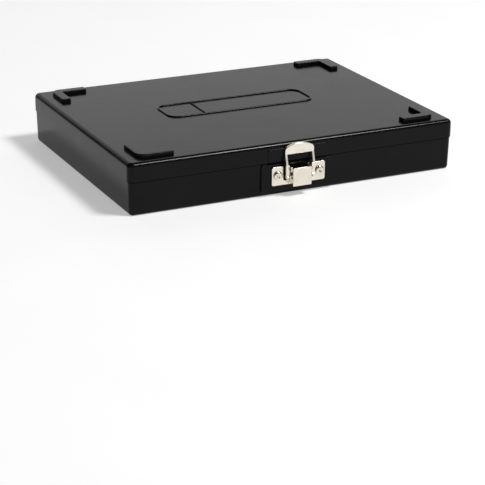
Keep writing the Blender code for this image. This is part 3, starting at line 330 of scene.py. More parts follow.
# %% Bright nickel
def plated_metal(name, first, second, gloss_low, gloss_high, wave_depth):
    finish, tree, shader = new_finish(name, 1.0)
    paint(tree, shader, noise(tree, 6 * MM, 3), first, second)
    drift = spread(tree, noise(tree, 2.5 * MM, 5), gloss_low, gloss_high)
    scratches = spread(tree, noise(tree, 0.25 * MM, 2, (1, 1, 9)), 0.0, 0.10, 0.60, 0.80)
    tree.links.new(join_values(tree, drift, scratches), shader.inputs["Roughness"])
    wave = raise_bumps(tree, shader, noise(tree, 3.5 * MM, 1), wave_depth)
    raise_bumps(tree, shader, noise(tree, 0.35 * MM, 3), 0.0015 * MM, 1.0, wave)
    return finish


bright_nickel = plated_metal("bright_nickel", (0.76, 0.70, 0.60), (0.84, 0.785, 0.69), 0.16, 0.27, 0.05 * MM)
tool_chrome = plated_metal("satin_chrome", (0.70, 0.71, 0.73), (0.79, 0.80, 0.81), 0.13, 0.24, 0.02 * MM)
print("made", bright_nickel.name, "and", tool_chrome.name)

# %% [markdown]
# The working steels are hardened and left without plate. Grinding lines run along them,
# and oil darkens them in patches.

# %% Bare steels
def bare_steel(name, first, second, along):
    finish, tree, shader = new_finish(name, 1.0)
    stretch = [12 if axis == along else 1 for axis in "XYZ"]
    grain = noise(tree, 0.22 * MM, 3, stretch)
    paint(tree, shader, noise(tree, 5 * MM, 4), first, second)
    tree.links.new(spread(tree, grain, 0.26, 0.46), shader.inputs["Roughness"])
    raise_bumps(tree, shader, grain, 0.006 * MM)
    return finish


hard_steel = bare_steel("hardened_steel", (0.17, 0.17, 0.18), (0.29, 0.29, 0.30), "Z")
bit_steel = bare_steel("sandblasted_bit_steel", (0.25, 0.25, 0.26), (0.36, 0.36, 0.36), "Z")
pin_steel = bare_steel("drawn_pin_steel", (0.40, 0.40, 0.41), (0.55, 0.55, 0.55), "X")
print("made three steels")

# %% [markdown]
# The insert and the grips are matt mouldings. A spark-eroded mould gives the insert its fine even grain,
# and that grain, not the colour, is what tells the eye that it is plastic. The grips are smoother and red.

# %% Matt mouldings
def matt_moulding(name, first, second, gloss_low, gloss_high, grain_size, grain_depth):
    finish, tree, shader = new_finish(name, 0.0, 1.48)
    paint(tree, shader, noise(tree, 14 * MM, 4), first, second)
    tree.links.new(spread(tree, noise(tree, 8 * MM, 4), gloss_low, gloss_high), shader.inputs["Roughness"])
    raise_bumps(tree, shader, noise(tree, grain_size, 2), grain_depth)
    return finish


INSERT_DARK = (0.030, 0.031, 0.034)
INSERT_LIGHT = (0.040, 0.041, 0.044)
GRIP_DARK = (0.36, 0.016, 0.014)
GRIP_LIGHT = (0.44, 0.024, 0.020)
insert_plastic = matt_moulding("insert_plastic", INSERT_DARK, INSERT_LIGHT, 0.52, 0.68, 0.30 * MM, 0.03 * MM)
red_grip = matt_moulding("red_grip_plastic", GRIP_DARK, GRIP_LIGHT, 0.34, 0.46, 0.5 * MM, 0.008 * MM)
print("made", insert_plastic.name, "and", red_grip.name)

# %% [markdown]
# The floor is a plain pale sheet, a little rough, so that it takes a soft shadow and no reflection.
# A curved backdrop would hide the far edge too, but from this height the sheet alone already fills the view.

# %% Lay the floor
FLOOR_HALF = 3.0
PAPER_DARK = (0.80, 0.80, 0.80)
PAPER_LIGHT = (0.82, 0.82, 0.82)


def lay_floor():
    mesh = bpy.data.meshes.new("floor")
    half = FLOOR_HALF
    corners = [(-half, -half, 0), (half, -half, 0), (half, half, 0), (-half, half, 0)]
    mesh.from_pydata(corners, [], [(0, 1, 2, 3)])
    floor = bpy.data.objects.new("floor", mesh)
    bpy.context.scene.collection.objects.link(floor)
    paper, tree, shader = new_finish("pale_paper", 0.0)
    paint(tree, shader, noise(tree, 60 * MM, 2), PAPER_DARK, PAPER_LIGHT)
    shader.inputs["Roughness"].default_value = 0.85
    shader.inputs["Specular IOR Level"].default_value = 0.2
    shader.inputs["Emission Color"].default_value = (1, 1, 1, 1)
    shader.inputs["Emission Strength"].default_value = TABLE_GLOW
    mesh.materials.append(paper)
    floor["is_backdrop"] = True


lay_floor()
print("floor is", 2 * FLOOR_HALF, "m square")

# %% [markdown]
# ## Drawing shapes
#
# Nearly every piece here is a stack of outlines: a flat outline is repeated along an axis, a little larger
# or smaller each time, and the rings are joined by faces. A turned piece is a stack of circles, a moulded
# shell is a stack of rounded rectangles that goes up the outside and down the inside. Starting from
# primitive cubes and cylinders would need a bevel on everything. In a stack, a soft edge is one more ring.

# %% Flat outlines
def circle(radius, sides=48, centre=(0, 0), turn=0.0):
    steps = [turn + math.tau * i / sides for i in range(sides)]
    return [(centre[0] + radius * math.cos(a), centre[1] + radius * math.sin(a)) for a in steps]


def hexagon(across, centre=(0, 0)):
    return circle(across / math.sqrt(3), 6, centre, math.pi / 6)


def square(side):
    return circle(side / math.sqrt(2), 4, (0, 0), math.pi / 4)


def rectangle(left, right, low, high):
    return [(left, low), (right, low), (right, high), (left, high)]


def arc(centre, radius, start, stop, steps=8):
    """Points on a circle from start to stop degrees, both ends included."""
    angles = [math.radians(start + (stop - start) * i / steps) for i in range(steps + 1)]
    return [(centre[0] + radius * math.cos(a), centre[1] + radius * math.sin(a)) for a in angles]


def rounded(left, right, low, high, radius, steps=8):
    """A rectangle with arcs for corners."""
    corners = ((right - radius, low + radius, -90), (right - radius, high - radius, 0),
               (left + radius, high - radius, 90), (left + radius, low + radius, 180))
    outline = []
    for x, y, start in corners:
        outline += arc((x, y), radius, start, start + 90, steps)
    return outline


def quarter_round(radius, steps):
    """(draw in, depth) pairs round a quarter circle, from a face out to the wall beside it."""
    turns = [math.radians(90 * i / steps) for i in range(steps + 1)]
    return [(radius * (1 - math.sin(a)), radius * (1 - math.cos(a))) for a in turns]


print("a rounded rectangle has", len(rounded(0, 2, 0, 1, 0.1)), "points")

# %% [markdown]
# Each outline is lifted to its place along an axis, and neighbouring rings are joined by four-sided faces.
# Shading is smooth, but an edge sharper than a given angle stays crisp, as on a real machined corner.

# %% From outlines to meshes
AXES = {"X": (Vector((0, 1, 0)), Vector((0, 0, 1)), Vector((1, 0, 0))),
        "Y": (Vector((1, 0, 0)), Vector((0, 0, 1)), Vector((0, 1, 0))),
        "Z": (Vector((1, 0, 0)), Vector((0, 1, 0)), Vector((0, 0, 1)))}


def lift(outline, axis, at, place=(0, 0, 0)):
    """Stand a flat outline across an axis, at a distance along it from place."""
    across, up, along = AXES[axis]
    start = Vector(place)
    return [start + across * u + up * v + along * at for u, v in outline]


def skin(name, rings, looped=False, smooth=40):
    """Join rings of equal counts with faces; cap the ends, or join the last ring to the first."""
    form = bmesh.new()
    rows = [[form.verts.new(point) for point in ring] for ring in rings]
    count = len(rows[0])
    pairs = list(zip(rows, rows[1:]))
    if looped:
        pairs.append((rows[-1], rows[0]))
    for low, high in pairs:
        for i in range(count):
            j = (i + 1) % count
            form.faces.new((low[i], low[j], high[j], high[i]))
    if not looped:
        form.faces.new(rows[0])
        form.faces.new(rows[-1])
    bmesh.ops.recalc_face_normals(form, faces=form.faces)
    mesh = bpy.data.meshes.new(name)
    form.to_mesh(mesh)
    form.free()
    piece = bpy.data.objects.new(name, mesh)
    bpy.context.scene.collection.objects.link(piece)
    set_shading(piece, smooth)
    return piece


def set_shading(piece, smooth):
    """Shade round faces smoothly and keep edges sharper than the given angle."""
    piece.data.shade_smooth()
    piece.data.set_sharp_from_angle(angle=math.radians(smooth))


def stack(name, sections, axis="Z", place=(0, 0, 0), smooth=40):
    return skin(name, [lift(outline, axis, at, place) for outline, at in sections], smooth=smooth)


def turned(name, profile, axis="Z", place=(0, 0, 0), sides=48, smooth=40):
    return stack(name, [(circle(radius, sides), at) for radius, at in profile], axis, place, smooth)


def block(outline, low, high, axis="Z", place=(0, 0, 0)):
    return stack("tool", [(outline, low), (outline, high)], axis, place)


def rod(radius, low, high, axis="Z", place=(0, 0, 0), sides=48):
    return block(circle(radius, sides), low, high, axis, place)


def soft_block(name, shape, low, high, edge, axis="Z", place=(0, 0, 0), steps=3):
    """A block of the outline shape(draw_in) whose end edges are rounded by edge."""
    turn = quarter_round(edge, steps)
    sections = [(shape(draw_in), low + depth) for draw_in, depth in turn]
    sections += [(shape(draw_in), high - depth) for draw_in, depth in reversed(turn)]
    return stack(name, sections, axis, place)


print("outlines and stacks are ready")

# %% [markdown]
# Holes and joined shapes are made with exact Booleans, and the modifier is applied at once.
# Leaving the modifier live would keep it editable, but the cutters would then have to stay in the scene.

# %% Cutting and joining
def merge(piece, tool, operation, smooth):
    """Apply one exact Boolean, weld what it leaves, and remove the tool."""
    modifier = piece.modifiers.new("join", "BOOLEAN")
    modifier.operation = operation
    modifier.solver = "EXACT"
    modifier.object = tool
    bpy.context.view_layer.update()
    graph = bpy.context.evaluated_depsgraph_get()
    result = bpy.data.meshes.new_from_object(piece.evaluated_get(graph))
    piece.modifiers.clear()
    old = piece.data
    piece.data = result
    bpy.data.meshes.remove(old)
    bpy.data.objects.remove(tool, do_unlink=True)
    form = bmesh.new()
    form.from_mesh(result)
    bmesh.ops.remove_doubles(form, verts=form.verts, dist=0.002 * MM)
    form.to_mesh(result)
    form.free()
    set_shading(piece, smooth)


def cut(piece, *tools, smooth=40):
    for tool in tools:
        merge(piece, tool, "DIFFERENCE", smooth)
    return piece


def add(piece, *tools, smooth=40):
    for tool in tools:
        merge(piece, tool, "UNION", smooth)
    return piece


def soften(piece, width, segments=3, angle=38):
    """Round every edge sharper than angle, and let flat faces keep flat shading."""
    bevel = piece.modifiers.new("rounded_edges", "BEVEL")
    bevel.width = width
    bevel.segments = segments
    bevel.limit_method = "ANGLE"
    bevel.angle_limit = math.radians(angle)
    bevel.use_clamp_overlap = True
    bevel.harden_normals = True
    return piece


SLOT_OF = {row["node"]: row["material_slot"] for row in frame["record"]["subparts"]}
redrawn = []


def dress(piece, finish, body, node):
    """Give a piece its finish and the body it moves with, hide the CAD node it stands for, and list that node
    as redrawn.
    """
    piece.data.materials.clear()
    piece.data.materials.append(finish)
    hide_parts(node)
    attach(piece, body)
    redrawn.append(node)
    return piece


def middle(node):
    low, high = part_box(node)
    return (Vector(low) + Vector(high)) / 2


print("Booleans are ready")

# %% [markdown]
# A pressed or moulded corner is never sharp. This helper takes a polygon whose corners each carry a radius,
# moves its sides inward by any distance, and puts the arcs in. Outside corners get tighter as the outline
# shrinks and inside corners get wider, just as they do on a real wall of even thickness. Blender's bevel
# modifier can also round corners, but then the outline cannot be reused at another size.

# %% Outlines with soft corners
def soft_outline(corners, draw_in=0.0, steps=6):
    """An anticlockwise polygon of (x, y, radius) corners, drawn in, with arcs at its corners."""
    outline = []
    count = len(corners)
    for i in range(count):
        before, here, after = (Vector(corners[(i + k) % count][:2]) for k in (-1, 0, 1))
        arriving = (here - before).normalized()
        leaving = (after - here).normalized()
        inward = (Vector((-arriving.y, arriving.x)), Vector((-leaving.y, leaving.x)))
        corner = here + (inward[0] + inward[1]) * draw_in / (1 + inward[0].dot(inward[1]))
        bend = math.atan2(arriving.cross(leaving), arriving.dot(leaving))
        outside = 1 if bend > 0 else -1
        radius = max(corners[i][2] - outside * draw_in, 0.03 * MM)
        start = corner - arriving * radius * math.tan(abs(bend) / 2)
        centre = start + inward[0] * outside * radius
        for k in range(steps + 1):
            turn = Matrix.Rotation(bend * k / steps, 2)
            outline.append(tuple(centre + turn @ (start - centre)))
    return outline


def mirrored(points):
    """A half outline and its mirror image across the first axis, in one round."""
    return points + [(-x, y, radius) for x, y, radius in reversed(points)]


def sheet(name, corners, low, high, edge, axis="Y", place=(0, 0, 0), steps=6):
    """A plate with soft corners whose face edges are both rounded."""
    def shape(draw_in):
        return soft_outline(corners, draw_in, steps)
    return soft_block(name, shape, low, high, edge, axis, place)


print("a test corner has", len(soft_outline([(0, 0, 0.1), (1, 0, 0.1), (1, 1, 0.1)])), "points")

# %% [markdown]
# ## The case
#
# Lid and base are two injection-moulded shells, about two millimetres thick. They meet at two thirds of the
# height. The base leans in slightly towards the floor so that it leaves its mould, and a tongue on its rim
# fits inside the lid and keeps dust out. Each shell is one closed stack of rounded rectangles: up the
# outside, over the rim and down the inside. A box with a Solidify modifier would give walls too, but no
# tongue, no lean and no separate inside radius.

# %% Sizes that drive the case
lid_low, lid_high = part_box("case_lid")
base_low, base_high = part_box("case_base")
CASE_WIDTH = 210 * MM
CASE_DEPTH = 158 * MM
CASE_HEIGHT = 31.1 * MM
PARTING = 19.85 * MM
GAP = 0.3 * MM
BASE_RIM = PARTING - GAP / 2
LID_RIM = PARTING + GAP / 2
FRONT = -CASE_DEPTH / 2
LID_WALL = 2.0 * MM
LID_ROOF = 2.2 * MM
OVERHANG = 0.5 * MM
BASE_FLOOR = 2.4 * MM
BASE_INNER = LID_WALL + GAP + 0.8 * MM
EDGE_RADIUS = 1.8 * MM
LID_RADIUS = 2.8 * MM
CORNER_RADIUS = 3.6 * MM
LEAN = math.tan(math.radians(1.3))


def case_ring(inset, height):
    """One level ring of the case outline, drawn in by inset."""
    radius = max(CORNER_RADIUS - inset, 0.8 * MM)
    half_x = CASE_WIDTH / 2 - inset
    half_y = CASE_DEPTH / 2 - inset
    return [Vector((x, y, height)) for x, y in rounded(-half_x, half_x, -half_y, half_y, radius, 10)]


def edge_rings(inset, edge, direction, radius=EDGE_RADIUS, steps=8):
    """Rings round an outside edge, from the flat face out to the wall."""
    turn = quarter_round(radius, steps)
    return [case_ring(inset + draw_in, edge + direction * depth) for draw_in, depth in turn]


print("lid spans", [round(v * 1000, 1) for v in lid_high - lid_low], "mm in the CAD model")
print("base spans", [round(v * 1000, 1) for v in base_high - base_low], "mm in the CAD model")

# %% [markdown]
# The hinge is moulded into the two shells. Each hinge has three barrels on a steel pin: the outer two grow
# from the base, the middle one from the lid, and a wedge-shaped web ties each barrel to the wall.
# A living hinge of thin plastic would save the pin, but polished, stiff plastic would crack along it.

# %% Hinge barrels
HINGE_Y = CASE_DEPTH / 2 + 3.0 * MM
HINGE_X = 62 * MM
BARREL_RADIUS = 2.6 * MM
BARREL_LENGTH = 9 * MM
HINGE_PIN = 1.1 * MM
PIN_PLAY = 0.15 * MM
BARREL_EASE = 0.35 * MM
WEB_INSET = 0.1 * MM
WEB_REACH = 6 * MM


def two_ended(rows, reach, centre=0.0):
    """A profile with the same end at both sides, from (radius, distance in from the end) rows."""
    left = [(radius, centre - reach + inward) for radius, inward in rows]
    return left + [(radius, centre + reach - inward) for radius, inward in reversed(rows)]


def barrel(x, side):
    """A hinge barrel with its web, on the base (side -1) or on the lid (side +1)."""
    full = BARREL_RADIUS
    rows = [(full - BARREL_EASE, 0), (full - 0.1 * MM, 0.1 * MM), (full, BARREL_EASE)]
    profile = two_ended(rows, BARREL_LENGTH / 2, x)
    piece = turned("barrel", profile, "X", (0, HINGE_Y, PARTING), 40)
    inside = CASE_DEPTH / 2 - 1.2 * MM
    near = PARTING + side * 0.35 * MM
    far = PARTING + side * WEB_REACH
    knee = (HINGE_Y + BARREL_RADIUS * 0.8, PARTING + side * 1.6 * MM)
    web = [(inside, near), (HINGE_Y, near), knee, (inside + 1.5 * MM, far), (inside, far)]
    if side < 0:
        web.reverse()
    reach = BARREL_LENGTH / 2
    return add(piece, block(web, x - reach + WEB_INSET, x + reach - WEB_INSET, "X"))


def add_barrels(shell, side):
    """Three-barrel hinges: two barrels on the base for each one on the lid, bored for the pin."""
    pitch = BARREL_LENGTH + GAP
    for middle_x in (-HINGE_X, HINGE_X):
        for offset in (-pitch, pitch) if side < 0 else (0,):
            add(shell, barrel(middle_x + offset, side))
        cut(shell, rod(HINGE_PIN + PIN_PLAY, -2 * pitch, 2 * pitch, "X", (middle_x, HINGE_Y, PARTING)))


print("barrels stand", round((HINGE_Y - CASE_DEPTH / 2) * 1000, 1), "mm behind the wall")

# %% [markdown]
# Four L-shaped ribs near the corners keep one case from sliding off another when they are stacked.
# Their outer corners follow the case, and a draft and a rounded top edge let them leave the mould.
# They could be separate bars, but on the real lid they are one with it, so they are joined by a Boolean.

# %% Stacking ribs
RIB_HEIGHT = 2.15 * MM
RIB_WIDTH = 5.8 * MM
RIB_LENGTH = 22 * MM
RIB_OUT_X = CASE_WIDTH / 2 - 8.7 * MM
RIB_OUT_Y = CASE_DEPTH / 2 - 7.2 * MM
RIB_CORNER = 5.4 * MM
RIB_INSIDE_CORNER = 1.6 * MM
RIB_TIP = 1.0 * MM
RIB_EDGE = 0.55 * MM
RIB_DRAFT = 0.05 * MM


def corner_rib(sign_x, sign_y):
    """One L-shaped rib, with a little draft and a rounded top edge."""
    end_x = RIB_OUT_X - RIB_LENGTH
    end_y = RIB_OUT_Y - RIB_LENGTH
    in_x = RIB_OUT_X - RIB_WIDTH
    in_y = RIB_OUT_Y - RIB_WIDTH
    corners = [(in_x, end_y, RIB_TIP), (RIB_OUT_X, end_y, RIB_TIP), (RIB_OUT_X, RIB_OUT_Y, RIB_CORNER),
               (end_x, RIB_OUT_Y, RIB_TIP), (end_x, in_y, RIB_TIP), (in_x, in_y, RIB_INSIDE_CORNER)]
    corners = [(sign_x * x, sign_y * y, radius) for x, y, radius in corners]
    if sign_x * sign_y < 0:
        corners.reverse()
    top = CASE_HEIGHT + RIB_HEIGHT
    steps = [(-RIB_DRAFT, CASE_HEIGHT - 0.6 * MM), (-RIB_DRAFT, CASE_HEIGHT + 0.05 * MM)]
    steps += [(RIB_DRAFT + draw_in, top - depth) for depth, draw_in in quarter_round(RIB_EDGE, 4)]
    return stack("rib", [(soft_outline(corners, draw_in), at) for draw_in, at in steps])


print("ribs stand", round(RIB_HEIGHT * 1000, 2), "mm above the lid")

# %% [markdown]
# A thin raised line frames the place for a label, with a divider near its left end. It is half round in
# section, so it shows as a fine dark line on the bright top: its sides turn away from the light. A groove
# would show as a line too, but a case that is stacked and wiped would fill it with dirt. The frame stays
# empty, with no mark and no words.

# %% Label frame
LABEL_LENGTH = 98 * MM
LABEL_DEPTH = 27 * MM
LABEL_Y = 5 * MM
LABEL_LINE = 1.4 * MM
LABEL_RISE = 0.8 * MM
LABEL_DIVIDER = 24 * MM
LABEL_CORNER = 7 * MM
LABEL_ROOT = 0.4 * MM


def line_section():
    """The half-round line as (draw in, height) pairs, from one foot over the crown to the other."""
    half = LABEL_LINE / 2
    pairs = [(0, -LABEL_ROOT), (0, -0.02 * MM)]
    for i in range(1, 8):
        a = math.radians(180 * i / 8)
        pairs.append((half - half * math.cos(a), LABEL_RISE * math.sin(a)))
    return pairs + [(LABEL_LINE, -0.02 * MM), (LABEL_LINE, -LABEL_ROOT)]


def label_frame():
    """The closed line round the label, built as a ring of rings."""
    half_x = LABEL_LENGTH / 2
    half_y = LABEL_DEPTH / 2
    rings = []
    for draw_in, rise in line_section():
        x, y = half_x - draw_in, half_y - draw_in
        outline = rounded(-x, x, -y, y, LABEL_CORNER - draw_in, 12)
        rings.append(lift(outline, "Z", CASE_HEIGHT + rise, (0, LABEL_Y, 0)))
    return skin("label_frame", rings, looped=True, smooth=60)


def label_divider():
    """The short line across the frame, with the same section."""
    across = [(draw_in - LABEL_LINE / 2, CASE_HEIGHT + rise * 0.98) for draw_in, rise in line_section()]
    reach = LABEL_DEPTH / 2 - LABEL_LINE / 2
    rings = []
    for y in (LABEL_Y - reach, LABEL_Y + reach):
        rings.append([Vector((LABEL_DIVIDER - LABEL_LENGTH / 2 + u, y, v)) for u, v in across])
    return skin("divider", rings, smooth=60)


print("label field is", round((LABEL_LENGTH - 2 * LABEL_LINE) * 1000, 1), "mm long inside its line")

# %% [markdown]
# Where the latch is riveted on, both shells carry a shallow raised panel with sloping edges.
# It spreads the pull of the latch, and gives the plate a flat seat on a leaning wall.
# The slope is drawn as an S in four steps, so that it catches a soft light and not a hard line.

# %% Latch panels
RIVET_HOLE = 1.2 * MM
PANEL_RISE = 0.5 * MM
PANEL_SLOPE = 0.35 * MM
PANEL_CORNER = 1.2 * MM
PANEL_ROOT = 1.2 * MM
PANEL_STEPS = ((1, 1), (0.75, 0.94), (0.5, 0.6), (0.2, 0.12))


def latch_panel(half_width, low, high):
    back = mirrored([(half_width, low, PANEL_CORNER), (half_width, high, PANEL_CORNER)])
    steps = [(PANEL_SLOPE * inward, PANEL_RISE * out) for inward, out in PANEL_STEPS]
    steps += [(0, -0.02 * MM), (0, -PANEL_ROOT)]
    return stack("panel", [(soft_outline(back, draw_in), FRONT - out) for draw_in, out in steps], "Y")


def bore_rivet_holes(shell, spacing, height):
    for x in (-spacing / 2, spacing / 2):
        cut(shell, rod(RIVET_HOLE, -2 * MM, 6 * MM, "Y", (x, FRONT, height)))


def calm_flats(piece):
    """Let the large flat faces rule the shading, so that joined details do not smear it."""
    weight = piece.modifiers.new("calm_flats", "WEIGHTED_NORMAL")
    weight.mode = "FACE_AREA"
    weight.weight = 100
    weight.keep_sharp = True
    return piece


print("panels rise", round(PANEL_RISE * 1000, 2), "mm")

# %% [markdown]
# The lid is drawn from its flat top outwards, down the wall, across the rim, and up the inside.
# Then the ribs, the label line, the panel and the hinge barrels are joined on, and the holes are bored.
# Joining comes before boring, because a hole must pass through everything that stands in its way.

# %% Build the lid
STRIKE_RIVETS = 7.4 * MM
STRIKE_HEIGHT = 26.6 * MM
RIM_EDGE = 0.2 * MM
ROOF_FILLET = 1.2 * MM
LID_PANEL_HALF = 19.5 * MM
LID_PANEL_TOP = 27.9 * MM


def build_lid():
    ease = RIM_EDGE
    rings = edge_rings(0, CASE_HEIGHT, -1, LID_RADIUS)
    rings += [case_ring(0, LID_RIM + ease), case_ring(0.3 * ease, LID_RIM + 0.3 * ease)]
    rings += [case_ring(ease, LID_RIM)]
    rings += [case_ring(LID_WALL - ease, LID_RIM), case_ring(LID_WALL, LID_RIM + ease)]
    roof = CASE_HEIGHT - LID_ROOF
    rings += [case_ring(LID_WALL + draw_in, roof - depth) for depth, draw_in in quarter_round(ROOF_FILLET, 5)]
    lid = skin("lid_shell", rings)
    for sign_x in (-1, 1):
        for sign_y in (-1, 1):
            add(lid, corner_rib(sign_x, sign_y))
    add(lid, add(label_frame(), label_divider(), smooth=60))
    add(lid, latch_panel(LID_PANEL_HALF, LID_RIM + 0.1 * MM, LID_PANEL_TOP))
    add_barrels(lid, 1)
    bore_rivet_holes(lid, STRIKE_RIVETS, STRIKE_HEIGHT)
    return calm_flats(lid)


lid = dress(build_lid(), black_shell, "lid", "case_lid")
print("lid shell has", len(lid.data.polygons), "faces")

# %% [markdown]
# The base is drawn in the same way, from its flat underside out and up. Its rim steps inwards
# and rises again as the tongue. The inside stands further in than the lid's, by the tongue's thickness.

# %% Build the base
RIVET_SPACING = 27.0 * MM
RIVET_HEIGHT = 12.4 * MM
TONGUE_HEIGHT = 2.0 * MM
BASE_PANEL_HALF = 23.5 * MM
BASE_PANEL_LOW = 2.4 * MM


def build_base():
    ease = RIM_EDGE
    tongue = BASE_RIM + TONGUE_HEIGHT
    rings = edge_rings(OVERHANG + BASE_RIM * LEAN, 0, 1)
    rings += [case_ring(OVERHANG, BASE_RIM - ease), case_ring(OVERHANG + 0.3 * ease, BASE_RIM - 0.3 * ease)]
    rings += [case_ring(OVERHANG + ease, BASE_RIM), case_ring(LID_WALL + GAP, BASE_RIM)]
    rings += [case_ring(LID_WALL + GAP, tongue - ease), case_ring(LID_WALL + GAP + ease, tongue)]
    rings += [case_ring(BASE_INNER - ease, tongue), case_ring(BASE_INNER, tongue - ease)]
    rings += [case_ring(BASE_INNER + 0.4 * MM, BASE_FLOOR)]
    base = skin("base_shell", rings)
    add(base, latch_panel(BASE_PANEL_HALF, BASE_PANEL_LOW, BASE_RIM - GAP))
    add_barrels(base, -1)
    bore_rivet_holes(base, RIVET_SPACING, RIVET_HEIGHT)
    return calm_flats(base)


base = dress(build_base(), black_shell, "root", "case_base")
print("base shell has", len(base.data.polygons), "faces")

# %% [markdown]
# The two hinge pins are plain drawn wire with rounded ends, pushed through the barrels from the side.
# One helper draws both ends of a profile from the same short list, so that they always match.

# %% Hinge pins
def build_hinge_pin(side):
    centre = middle("hinge_pin_" + side)
    reach = 1.5 * BARREL_LENGTH + GAP
    nose = ((0.55, 0), (0.8, 0.1), (0.96, 0.3), (1, 0.6))
    rows = [(HINGE_PIN * share, inward * MM) for share, inward in nose]
    return turned("pin_" + side, two_ended(rows, reach), "X", tuple(centre), 32)


for side in ("left", "right"):
    dress(build_hinge_pin(side), pin_steel, "root", "hinge_pin_" + side)
print("hinge pins at x", [round(middle("hinge_pin_" + side).x * 1000) for side in ("left", "right")])

# %% [markdown]
# ## The draw latch
#
# The latch has a riveted plate, a pull lever on a pin, a catch link on the lever, and a strike on the lid.
# The link's hood drops over the strike. Pushing the lever down carries the link's pin past the line between
# the lever's pin and the strike, and from there the pull of the link holds the lever shut.
# All of it is stamped from steel strip of 0.6 to 0.9 mm, so every piece is a plate with rounded edges.
# Bent tabs are drawn as plates of their own and joined on, which costs less than bending a mesh.

# %% Latch plate with its slots and cheeks
SHEET = 0.8 * MM
PLATE_BACK = PANEL_RISE + GAP
PLATE_FRONT = PLATE_BACK + SHEET
LEVER_PIVOT = (4.9 * MM, 16.2 * MM)
LINK_PIVOT = (3.6 * MM, 11.7 * MM)
PIN_RADIUS = 0.75 * MM
STAMPED_EDGE = 0.22 * MM
LEVER_HALF = 6.0 * MM
CHEEK_SHEET = 0.6 * MM
CHEEK_RADIUS = 1.7 * MM
PLATE_HALF = 17.2 * MM
PLATE_LOW = 6.3 * MM
PLATE_HIGH = 17.6 * MM
SLOT_OUT = 9.9 * MM
SLOT_IN = 7.0 * MM
SLOT_FLOOR = 8.9 * MM
NOTCH_LOW = 14.2 * MM
CRISP = 0.05 * MM


def plate_corners():
    """The plate's front view: ears outside, a tongue between two open slots. The tongue is notched later."""
    ear, slot, tip = 1.2 * MM, 1.4 * MM, 0.5 * MM
    right = [(PLATE_HALF, PLATE_LOW, ear), (PLATE_HALF, PLATE_HIGH, ear), (SLOT_OUT, PLATE_HIGH, tip),
             (SLOT_OUT, SLOT_FLOOR, slot), (SLOT_IN, SLOT_FLOOR, slot), (SLOT_IN, PLATE_HIGH, tip)]
    return mirrored(right)


def pin_hole(pivot):
    return rod(PIN_RADIUS + 0.2 * MM, -12 * MM, 12 * MM, "X", (0, FRONT - pivot[0], pivot[1]))


def pivot_cheek(side):
    """A tab bent out of the plate, with a round end for the lever's pin."""
    out, height = LEVER_PIVOT
    radius = CHEEK_RADIUS
    start = -PLATE_BACK - SHEET / 2
    corners = [(start, height + radius, CRISP), (-out - radius, height + radius, radius * 0.99),
               (-out - radius, height - radius, radius * 0.99), (start, height - radius, CRISP)]
    near = LEVER_HALF + GAP
    far = near + CHEEK_SHEET
    span = (near, far) if side > 0 else (-far, -near)
    cheek = sheet("cheek", corners, *span, STAMPED_EDGE, "X", (0, FRONT, 0))
    return cut(cheek, pin_hole(LEVER_PIVOT))


def build_plate():
    plate = sheet("plate", plate_corners(), -PLATE_FRONT, -PLATE_BACK, STAMPED_EDGE, "Y", (0, FRONT, 0))
    for side in (-1, 1):
        cut(plate, rod(RIVET_HOLE, -4 * MM, 0, "Y", (side * RIVET_SPACING / 2, FRONT, RIVET_HEIGHT)))
        add(plate, pivot_cheek(side))
    notch = LEVER_HALF - GAP
    cut(plate, block(rectangle(-notch, notch, NOTCH_LOW, 19 * MM), -4 * MM, 0, "Y", (0, FRONT, 0)))
    return calm_flats(plate)


dress(build_plate(), bright_nickel, "root", "latch_plate")
print("plate is", round(2 * PLATE_HALF * 1000, 1), "mm wide")

# %% [markdown]
# The rivets are semi-tubular, with a low smooth dome outside, dished in its middle by the press.
# Inside the wall the tube's end is rolled over and clinched. A turned profile gives both ends at once.
# A dome reflects the whole room in one small spot, so it must be truly round.

# %% Rivets
RIVET_SHANK = 0.9 * MM
CLINCH_DEPTH = 0.5 * MM
STRIKE_OUT = PLATE_BACK + 0.35 * MM + GAP


def clinched_end(clinch, inner):
    """The rolled-over end inside the wall, from its middle out to the shank, whose wall is at inner."""
    end = inner + CLINCH_DEPTH
    return [(0.2 * MM, end), (clinch - 0.4 * MM, end), (clinch - 0.08 * MM, inner + 0.35 * MM),
            (clinch, inner + 0.15 * MM), (clinch - 0.1 * MM, inner), (RIVET_SHANK, inner)]


def dished_head(radius, dome, out, dish):
    """The head from its seat at out, up over the crest and down into the dish."""
    edge = 0.12 * MM
    crest = dish * 2
    profile = [(RIVET_SHANK, -out), (radius - edge, -out), (radius, -out - edge)]
    for i in range(1, 13):
        a = math.radians(90 * i / 12)
        profile.append((crest + (radius - crest) * math.cos(a), -out - edge - (dome - edge) * math.sin(a)))
    for i in range(11, 0, -1):
        profile.append((crest * i / 12, -out - dome + dish * (1 + math.cos(math.pi * i / 12)) / 2))
    return profile + [(0.01 * MM, -out - dome + dish)]


def build_rivets(name, body, spacing, height, profile):
    for side, sign in (("left", -1), ("right", 1)):
        place = (sign * spacing / 2, FRONT, height)
        head = turned(f"{name}_{side}_head", profile, "Y", place, 48, 50)
        dress(head, bright_nickel, body, f"{name}_{side}")


large = clinched_end(1.8 * MM, BASE_INNER + 0.5 * MM)
large += dished_head(2.7 * MM, 1.25 * MM, PLATE_FRONT + GAP, 0.75 * MM)
small = clinched_end(1.3 * MM, LID_WALL + GAP)
small += dished_head(1.2 * MM, 0.24 * MM, STRIKE_OUT, 0.06 * MM)
build_rivets("latch_rivet", "root", RIVET_SPACING, RIVET_HEIGHT, large)
build_rivets("strike_rivet", "lid", STRIKE_RIVETS, STRIKE_HEIGHT, small)
print("four rivets set")

